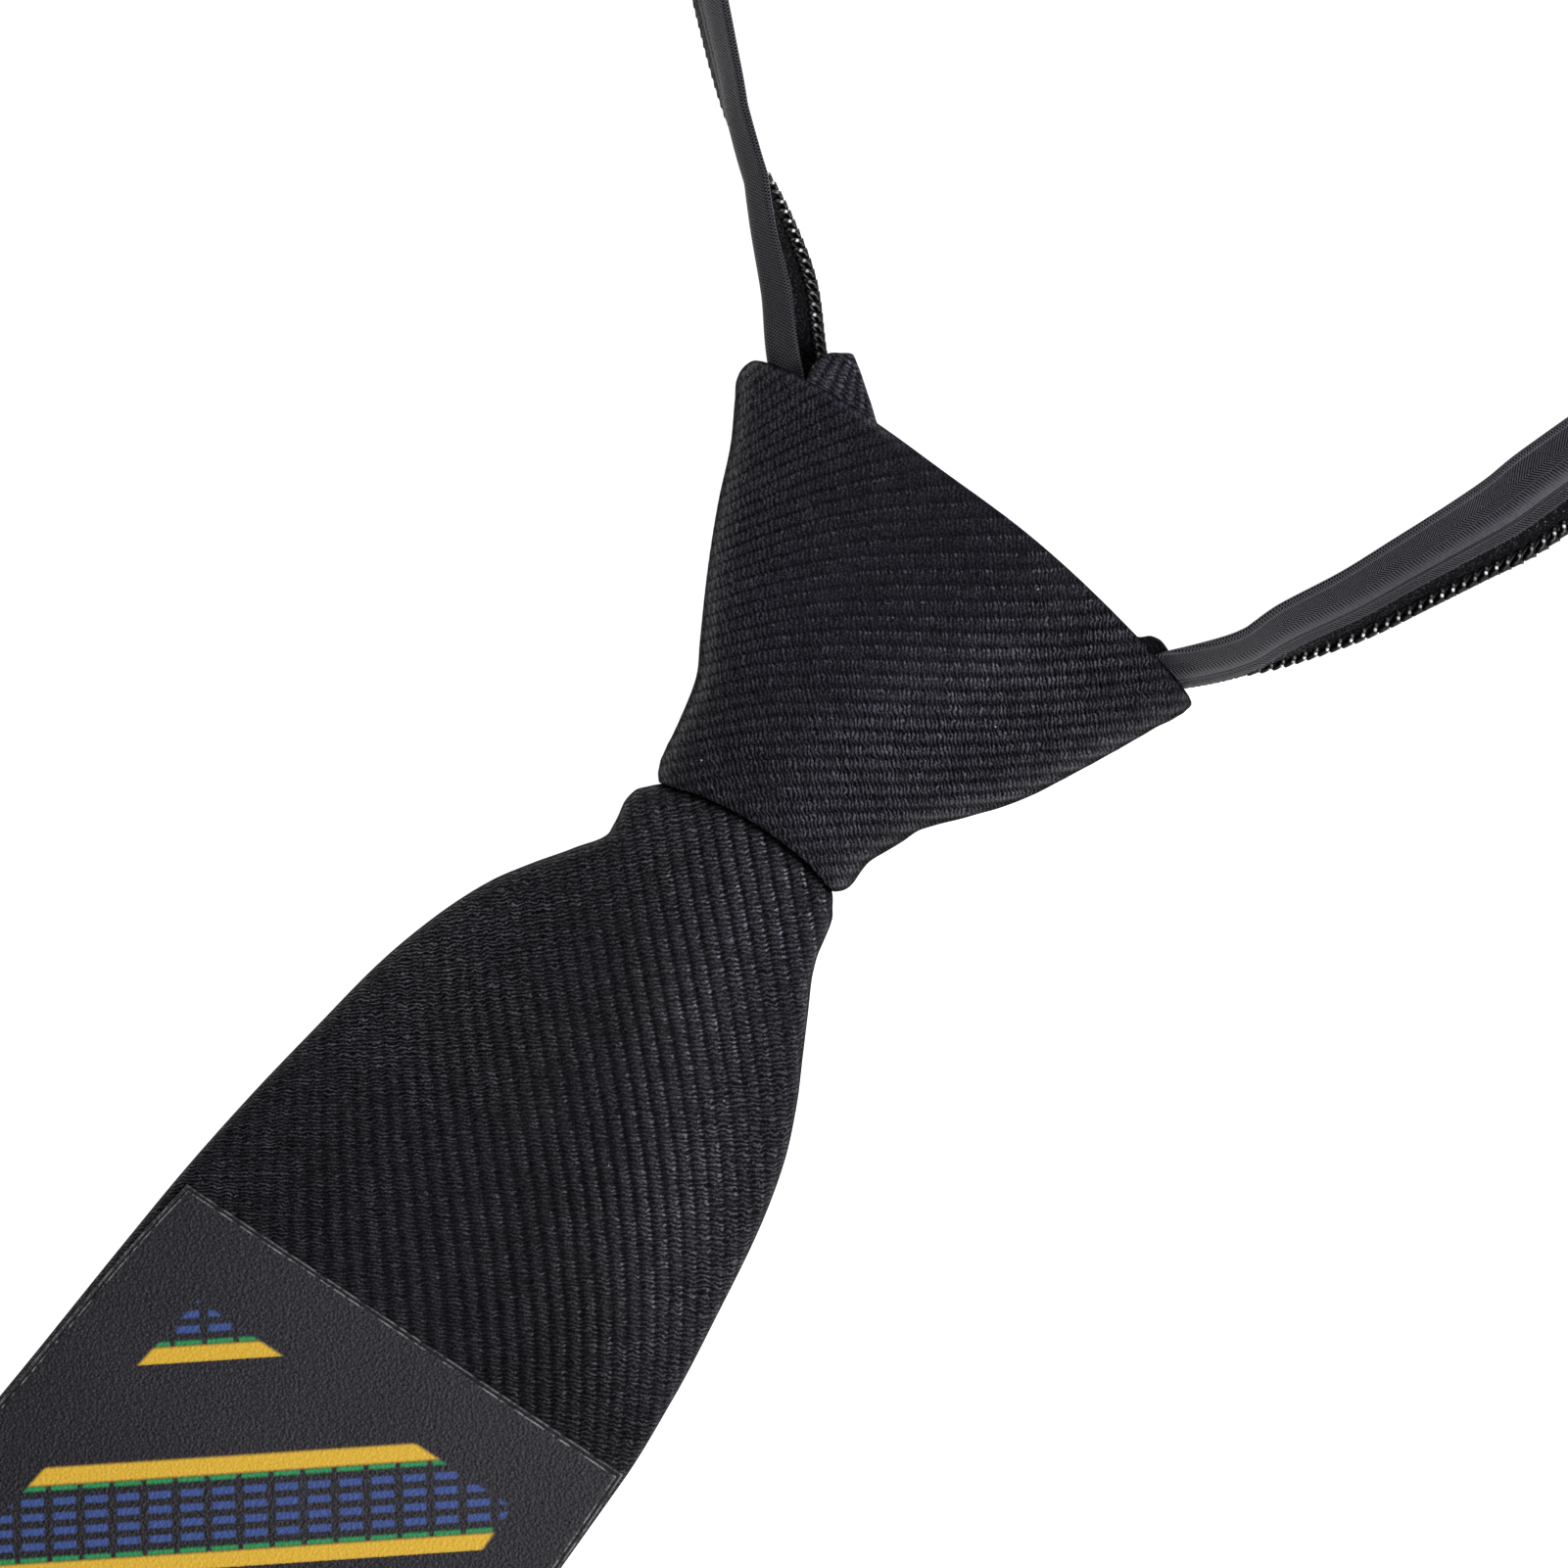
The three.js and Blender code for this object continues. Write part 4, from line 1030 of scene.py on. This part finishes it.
def build_blade():
    places = np.concatenate([
        np.linspace(34.0, 40.0, 7)[:-1],
        np.arange(40.0, FINE_END, FINE_PITCH),
        np.arange(FINE_END, -HIDDEN_TOP, PLAIN_PITCH),
        np.arange(-HIDDEN_TOP, -HIDDEN_END - 1.5, HIDDEN_PITCH),
        -HIDDEN_END - np.array([1.6, 0.8, 0.0]),
    ])
    table = through(BLADE_PLACES, BLADE_ROWS, places)
    # It widens at once where it leaves the knot.
    for side, neck in ((0, NECK_LEFT), (2, NECK_RIGHT)):
        y = table[:, side + 1]
        shown = (y > neck[0, 0]) & (y < neck[-1, 0])
        table[shown, side] = through(neck[:, 0], neck[:, 1], y[shown])[:, 0]
    outer = rolled_end(np.array([blade_line(row, OUTER_PARTS, BLADE_WALL / 2) for row in table]))
    inner = np.array([blade_line(row, INNER_PARTS, -BLADE_WALL / 2)[::-1] for row in table])
    inner = rolled_end(inner)
    rows, count = outer.shape[:2]
    columns = count + inner.shape[1]

    # Length from the front's middle, and its share of the way to the side's fold.
    flap, fold, front, _ = OUTER_PARTS
    middle = flap + fold + front // 2
    edge = flap + fold + front + fold // 2
    s = lengths(outer, axis=1)
    s = s - s[:, middle:middle + 1]
    half = s[:, edge:edge + 1]
    q = s / half
    x, y = seen(outer)
    held = y.clip(BLADE_RUN_END, None)
    inside = q / np.minimum(1.0, BLADE_RUN_HALF / half)
    rib = weave_run(BLADE_RIBS, x, held, BLADE_RUN_Y) + RIBS_BELOW * (y - held)
    thread = weave_run(BLADE_THREADS, x, held, BLADE_RUN_Y) + THREADS_BELOW * (y - held)
    rib, thread = (continued(run, s, inside, BLADE_RUN_SIDE) for run in (rib, thread))
    look = look_around(BLADE_LOOK, x, y, BLADE_LOOK_REACH)
    normal = normals_of(outer, LEVEL_ROW, middle)

    # Painted highlight along a line down the blade, lighter towards the sides and beside the neck's
    # left edge, and painted shade lower down.
    painted_highlight = highlight_line_share(BLADE_HIGHLIGHT_LINE, x, y, BLADE_HIGHLIGHT_REACH)
    painted_highlight *= 0.15 + 0.85 * smooth(-108, -92, y)
    tone = 0.44 + 0.08 * smooth(0.45, 0.9, np.abs(q)) + 0.30 * painted_highlight
    tone -= (0.02 + 0.07 * smooth(0.3, 0.6, np.abs(q))) * smooth(-82.0, -100.0, y)
    tone += 0.20 * hump(x, -9.0, 5.0) * hump(y, -47.5, 4.0)
    # The knot's mouth keeps the light off the cloth right below it.
    across = (x / 11.6).clip(-1, 1)
    mouth = -42.75 + 0.7 * across + 1.65 * (1 - across**2)
    tone *= 0.08 + 0.92 * smooth(0.2, 1.1 + 0.4 * across, mouth - y)
    # The steep sides are matt and painted darker: painted shade.
    matt = steepness(normal)
    tone *= 1 - 0.6 * matt

    # Soft pleats run down from the neck, and the ribs stand out as far as the fine rows go.
    pleat = 0.12 * hump(y, -52.0, 14.0) * np.sin(0.42 * x + 0.8)
    pleat += 0.12 * hump(y, -75.0, 18.0) * np.sin(0.21 * x - 0.6)
    pleat *= (1 - smooth(0.7, 0.95, np.abs(q))) * smooth(42.0, 45.0, -y) * smooth(-110, -100, y)
    shown = smooth(-117.0, -115.0, y) * (1 - smooth(0.9, 1.0, np.abs(q)))
    outer = outer + normal * (rib_relief(rib, look) * shown + pleat)[:, :, None]

    def with_inside(parts, *inside_parts):
        inside = np.broadcast_arrays(*inside_parts, inner[:, :, 0])[:-1]
        return np.concatenate([np.stack(parts, axis=-1), np.stack(inside, axis=-1)], axis=1)

    faces = grid_faces(rows, columns, wrap=True)
    for row, flip in ((0, False), (rows - 1, True)):
        one = list(range(row * columns, row * columns + count))
        other = list(range((row + 1) * columns - 1, row * columns + count - 1, -1))
        strip = zip_faces(one, other, np.linspace(0, 1, count), part_shares(INNER_PARTS))
        faces += [face if flip else face[::-1] for face in strip]
    return solid_piece(
        "blade_cloth", np.concatenate([outer, inner], axis=1), faces, BLADE_CLOTH, "tie_cloth",
        "blade",
        weave=with_inside([rib, thread, look[:, :, 3]], inner[:, :, 1] / LINING_RIB_PITCH,
                          inner[:, :, 0] / THREAD_PITCH, 0.0),
        look=with_inside([look[:, :, k] for k in range(3)], 0.3, 0.25, 0.1),
        tone=with_inside([tone, matt], 0.6, 0.0),
    )


# The light panel.

# The welded rim: distance from the edge, how far the surface lies below the film's top.
RIM_ROWS = np.array([
    (0.0, 0.34), (0.06, 0.22), (0.16, 0.17), (0.28, 0.18), (0.36, 0.26), (0.44, 0.20),
    (0.52, 0.07), (0.62, 0.02), (0.8, 0.0), (1.4, 0.0),
])


def build_panel():
    slant = 1.414
    steps = RIM_ROWS[:, 0]
    rim_width = steps[-1]
    middle_steps = np.linspace(0, 1, 41)[1:-1]
    places = -(PANEL_ROWS[:, 1] + PANEL_ROWS[:, 3]) / 2
    start = places[0]
    end = places[-1] - 1.4 * PANEL_MARGIN
    down = np.concatenate([
        start + steps, np.arange(start + 2.6, end - 3.0, 2.6), end - steps[::-1] * slant,
    ])
    top, insets = [], []
    for at, row in zip(down, through(places, PANEL_ROWS, down)):
        left_x, left_y, right_x, right_y, tip = row
        width = right_x - left_x
        xs = np.concatenate([
            steps, rim_width + (width - 2 * rim_width) * middle_steps, width - steps[::-1],
        ])
        across = 2 * xs / width - 1
        y = slanted(left_y, right_y, across) - tip * (1 - np.abs(across))
        z = BLADE_ROWS[-1, 4] + GAP + BLADE_ROWS[-1, 5] * (1 - across**2)
        from_end = np.full_like(xs, min(at - start, (end - at) / slant))
        top.append(np.stack([left_x + xs, y, z], axis=1))
        insets.append(np.stack([xs, width - xs, from_end], axis=1))
    top, insets = np.array(top), np.array(insets)
    rims = insets.min(axis=-1)
    under = top.copy()
    top[:, :, 2] += PANEL_THICKNESS - np.interp(rims, *RIM_ROWS.T)
    points, faces = closed_sheets(top, under)
    return solid_piece(
        "light_panel_film", points, faces, panel_material(), "panel_film", "light_panel",
        drawing=np.stack([top[:, :, 0], top[:, :, 1], rims], axis=-1), inset=insets,
    )


# The neck strap.

UP = np.array([0, 0, 1.0])
SECTION_SAMPLES = 56
# The tape runs on as a thin lip under the coil, from this far out.
TAPE_LIP = -0.36
TAPE_STEP = 0.55
TAPE_SIDE_POINTS = 34
TAPE_BODY = 0.42
LIP_FADE = (1.2, 1.7)
LIP_SINK = 0.30
# Ridges and grooves along the tape: place from the toothed edge, or below zero from the plain
# one, then reach and height.
TAPE_RIDGES = [(4.6, 0.22, -0.13), (2.5, 0.5, 0.10), (-0.7, 0.5, 0.07)]
COIL_PITCHES = {"left": 1.2, "right": 1.42}
COIL_STEPS = 20
COIL_SIDES = 8


def catmull(points, at):
    """Centripetal curve through points, read at at from 0 to 1, as the CAD source sweeps it."""
    last = len(points) - 1
    place = at * last
    i = np.minimum(np.floor(place).astype(int), last - 1)
    w = (place - i)[:, None]
    ends = np.vstack([2 * points[0] - points[1], points, 2 * points[-1] - points[-2]])
    p0, p1, p2, p3 = ends[i], ends[i + 1], ends[i + 2], ends[i + 3]
    d0, d1, d2 = (np.linalg.norm(b - a, axis=1, keepdims=True) ** 0.5
                  for a, b in ((p0, p1), (p1, p2), (p2, p3)))
    t1 = ((p1 - p0) / d0 - (p2 - p0) / (d0 + d1) + (p2 - p1) / d1) * d1
    t2 = ((p2 - p1) / d1 - (p3 - p1) / (d1 + d2) + (p3 - p2) / d2) * d1
    return (p1 + t1 * w + (-3 * p1 + 3 * p2 - 2 * t1 - t2) * w**2
            + (2 * p1 - 2 * p2 + t1 + t2) * w**3)


def whole_route(side):
    left = side == "left"
    start = LOOP_END if left else LOOP_START
    short = (1 if left else -1) * math.degrees(STRAP_BREAK / LOOP_RADIUS)
    rows = list(LEFT_FOLDS if left else RIGHT_FOLDS)
    for share, left_tilt, right_tilt, base in ROUND_ROWS:
        angle = math.radians(start + (NAPE + short - start) * share)
        x = LOOP_CENTRE[0] + LOOP_RADIUS * math.cos(angle)
        y = LOOP_CENTRE[1] + LOOP_RADIUS * math.sin(angle)
        tilt = left_tilt if left else right_tilt
        rows.append((x, y, base, tilt, tilt, TAPE_WIDTH))
    return np.array(rows, float)


class Strap:
    """The middle line of one strap, with its tilt, fold and width at every place along it."""

    def __init__(self, side):
        self.side = side
        rows = whole_route(side)
        fine = np.linspace(0, 1, 40 * (len(rows) - 1) + 1)
        self.points = catmull(rows[:, :3], fine)
        self.at = lengths(self.points[:, :2])
        self.length = self.at[-1]
        self.turns = through(np.linspace(0, 1, len(rows)), rows[:, 3:], fine)

    def read(self, values, s):
        """Columns of values along the middle line, at the lengths s."""
        return np.stack([np.interp(s, self.at, column) for column in values.T], axis=1)

    def frames(self, s):
        """Place, level way across and turns at the lengths s."""
        run = unit(self.read(np.gradient(self.points[:, :2], axis=0), s))
        level = np.stack([-run[:, 1], run[:, 0], np.zeros(len(s))], axis=1)
        return self.read(self.points, s), level, self.read(self.turns, s)

    def section(self, turns, w):
        """(level, up) places and direction of the tape at distances w from the toothed edge."""
        first, last, width = turns
        samples = np.linspace(0, width, SECTION_SAMPLES)
        fold, reach = FOLDS[self.side]
        share = smooth(fold - reach, fold + reach, samples)
        angle = np.radians(first + (last - first) * share)
        between = (angle[:-1] + angle[1:]) / 2
        level = np.append(0, np.cumsum(np.cos(between))) * samples[1]
        up = np.append(0, np.cumsum(np.sin(between))) * samples[1]
        level -= (level.min() + level.max()) / 2
        up += TEETH_RADIUS * (1 - math.sin(math.radians(first))) - min(up.min(), 0)
        return [np.interp(w, samples, values) for values in (level, up, angle)]


def build_tape(strap):
    s = np.linspace(0, strap.length, int(strap.length / TAPE_STEP))
    share = np.linspace(0, 1, TAPE_SIDE_POINTS)
    side = np.repeat([1.0, -1.0], TAPE_SIDE_POINTS)
    rings, fields = [], []
    for along, place, level, turns in zip(s, *strap.frames(s)):
        width = turns[2]
        w = TAPE_LIP + (width - TAPE_LIP) * share**0.8
        across, high, angle = (values[:, None] for values in strap.section(turns, w))
        body = TAPE_BODY * (1 - round_off(np.minimum((w - TAPE_LIP) / 0.2, (width - w) / 0.45)))
        for middle, reach, height in TAPE_RIDGES:
            body += height * hump(w, middle if middle > 0 else width + middle, reach)
        past_lip = smooth(*LIP_FADE, w)
        body = body.clip(0.02) * (0.35 + 0.65 * past_lip)
        sunk = -LIP_SINK * (1 - past_lip)
        line = place + across * level + high * UP
        out = -np.sin(angle) * level + np.cos(angle) * UP
        front = line + out * (sunk + body)[:, None]
        back = line + out * (sunk - body)[:, None]
        rings.append(np.concatenate([front, back[::-1]]))
        both = np.concatenate([w, w[::-1]])
        fields.append(np.stack([np.full_like(both, along), both, side], axis=1))
    rows, columns = len(rings), 2 * TAPE_SIDE_POINTS
    faces = grid_faces(rows, columns, wrap=True)
    for row, flip in ((0, False), (rows - 1, True)):
        first = row * columns
        for k in range(TAPE_SIDE_POINTS - 1):
            quad = (first + k, first + k + 1, first + columns - 2 - k, first + columns - 1 - k)
            faces.append(quad if flip else quad[::-1])
    return solid_piece(
        f"strap_{strap.side}_tape", rings, faces, TAPE, "zip_tape", f"strap_{strap.side}",
        tape=np.array(fields),
    )


def build_coil(strap, material):
    """One plastic thread wound in flat turns along the tape's edge, with a flat head on each."""
    pitch = COIL_PITCHES[strap.side]
    steps = np.arange(int((strap.length - 2.0) / pitch) * COIL_STEPS + 1)
    angle = steps * 2 * math.pi / COIL_STEPS
    whole, part = np.divmod(steps, COIL_STEPS)
    part = part / COIL_STEPS
    lean = np.where(part < 0.5, 0.6 * (1 - smooth(0.0, 0.5, part)), 1.6 * smooth(0.5, 1.0, part))
    # The upper leg runs from the inner end to the head, then the lower leg runs back.
    across = 0.52 + 0.58 * np.sign(np.cos(angle)) * np.abs(np.cos(angle)) ** 0.7
    out = 0.26 + 0.44 * np.sin(angle)
    path, forward = [], []
    frames = strap.frames(0.5 + pitch * (whole + lean))
    for place, level, turns, sideways, outwards in zip(*frames, across, out):
        (from_middle,), (high,), (tilt,) = strap.section(turns, [0.0])
        way = math.cos(tilt) * level + math.sin(tilt) * UP
        outward = -math.sin(tilt) * level + math.cos(tilt) * UP
        path.append(place + from_middle * level + high * UP + way * sideways + outward * outwards)
        forward.append((level[1], -level[0], 0.0))
    path, forward = np.array(path), np.array(forward)
    run = unit(np.gradient(path, axis=0))
    one = unit(forward - run * (forward * run).sum(axis=1, keepdims=True))
    two = np.cross(run, one)
    head = np.exp(-((part - 0.5) / 0.19) ** 6)[:, None]
    sides = (np.arange(COIL_SIDES) + 0.5) * 2 * math.pi / COIL_SIDES
    cos, sin = (np.sign(f) * np.abs(f) ** (1 - 0.75 * head) for f in (np.cos(sides), np.sin(sides)))
    wide = cos * (0.27 + (pitch / 2 - 0.22) * head)
    thick = sin * (0.26 - 0.02 * head)
    rings = path[:, None] + one[:, None] * wide[:, :, None] + two[:, None] * thick[:, :, None]
    rows = len(rings)
    faces = grid_faces(rows, COIL_SIDES, wrap=True)
    faces.append(range(COIL_SIDES)[::-1])
    faces.append(range((rows - 1) * COIL_SIDES, rows * COIL_SIDES))
    return solid_piece(
        f"zipper_coil_{strap.side}_turns", rings, faces, material, "zip_teeth",
        f"zipper_coil_{strap.side}",
        coil=np.stack([np.broadcast_to(part[:, None], cos.shape), cos], axis=-1),
    )


JOINER_STEPS = 64
CORNER_POINTS = 12


def rounded_outline(half_across, half_up, radius):
    points = []
    for sign_x, sign_z, start in ((1, 1, 0), (-1, 1, 90), (-1, -1, 180), (1, -1, 270)):
        for turn in np.radians(np.linspace(start, start + 90, CORNER_POINTS)):
            points.append((sign_x * (half_across - radius) + radius * math.cos(turn),
                           sign_z * (half_up - radius) + radius * math.sin(turn)))
    return points


def build_joiner():
    """A flat sleeve of the same weave over both strap ends, with turned and stitched ends."""
    half_across = TEETH_RADIUS + 2 * GAP + JOINER_WALL
    half_up = TAPE_WIDTH / 2 + GAP + JOINER_WALL
    corner, sharpest = 1.15, 0.25
    length = math.radians(JOINER_ARC) * LOOP_RADIUS
    along = np.linspace(0, length, JOINER_STEPS)
    edge = np.minimum(along, length - along)
    hem = 0.16 * (1 - smooth(3.0, 3.5, edge))
    seam = 0.12 * hump(edge, 2.2, 0.25)
    insets = np.concatenate([0.17 - hem + seam, np.full(JOINER_STEPS, JOINER_WALL)])
    start = math.radians(NAPE - JOINER_ARC / 2)
    points, fields = [], []
    for at, inset in zip(np.concatenate([along, along[::-1]]), insets):
        angle = start + at / LOOP_RADIUS
        radius = max(corner - inset, sharpest)
        outline = rounded_outline(half_across - inset, half_up - inset, radius)
        for out, upward in outline:
            r = LOOP_RADIUS + out
            x, y = LOOP_CENTRE[0] + r * math.cos(angle), LOOP_CENTRE[1] + r * math.sin(angle)
            points.append((x, y, upward + half_up))
            fields.append((at, 5.0 + 0.2 * upward, 0.0))
    faces = grid_faces(len(insets), len(outline), wrap=True, endless=True)
    return solid_piece(
        "strap_joiner_sleeve", points, faces, TAPE, "zip_tape", "strap_joiner",
        tape=np.array(fields),
    )


knot = build_knot()
inner_wrap = build_inner_wrap()
blade = build_blade()
build_panel()
straps = [Strap(side) for side in ("left", "right")]
tapes = [build_tape(strap) for strap in straps]
COIL = coil_material()
for strap in straps:
    build_coil(strap, COIL)
joiner = build_joiner()

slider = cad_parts["zip_slider"]
slider.data.materials.clear()
slider.data.materials.append(metal_material())


# Camera, floor and light.

IMAGE_TURN = math.radians(35.44)
FLOOR_REACH = 4.0
FLOOR_LEVEL = -0.0003


def link(name, data):
    item = bpy.data.objects.new(name, data)
    bpy.context.scene.collection.objects.link(item)
    return item


def soft_light(name, place, towards, size, power):
    data = bpy.data.lights.new(name, "AREA")
    data.shape = "RECTANGLE"
    data.size, data.size_y = size
    data.energy = power
    light = link(name, data)
    light.location = (np.array(place) + SHIFT) * MM
    away = unit(np.array(place, float) - np.array(towards, float))
    level = math.hypot(away[0], away[1])
    light.rotation_euler = (0.0, math.atan2(level, away[2]), math.atan2(away[1], away[0]))


lens = bpy.data.cameras.new("camera")
lens.lens = 180.0
lens.sensor_width = 36.0
lens.clip_end = 20.0
camera = link("camera", lens)
camera.location = (np.array(EYE) + SHIFT) * MM
camera.rotation_euler = (0.0, 0.0, IMAGE_TURN)
bpy.context.scene.camera = camera

floor_mesh = bpy.data.meshes.new("floor")
corners = [(x * FLOOR_REACH, y * FLOOR_REACH, 0) for x, y in ((-1, -1), (1, -1), (1, 1), (-1, 1))]
floor_mesh.from_pydata(corners, [], [(0, 1, 2, 3)])
floor_mesh.materials.append(Graph("pale_floor").finish(
    Base_Color=(0.3, 0.3, 0.3), Roughness=0.9, Specular_IOR_Level=0.1,
    Emission_Color=(1.0, 1.0, 1.0), Emission_Strength=1.0,
))
floor = link("floor", floor_mesh)
floor.location.z = FLOOR_LEVEL

soft_light("key", (560, 20, 1050), (0, -40, 0), (0.45, 0.6), 19.0)
soft_light("fill", (-900, 700, 1100), (0, -50, 0), (1.2, 1.2), 2.0)

world = bpy.data.worlds.new("studio")
world.use_nodes = True
background = world.node_tree.nodes["Background"].inputs
background["Color"].default_value = (1.0, 1.0, 1.0, 1.0)
background["Strength"].default_value = 0.20
bpy.context.scene.world = world
bpy.context.scene.view_settings.view_transform = "Standard"
bpy.context.scene.view_settings.look = "None"
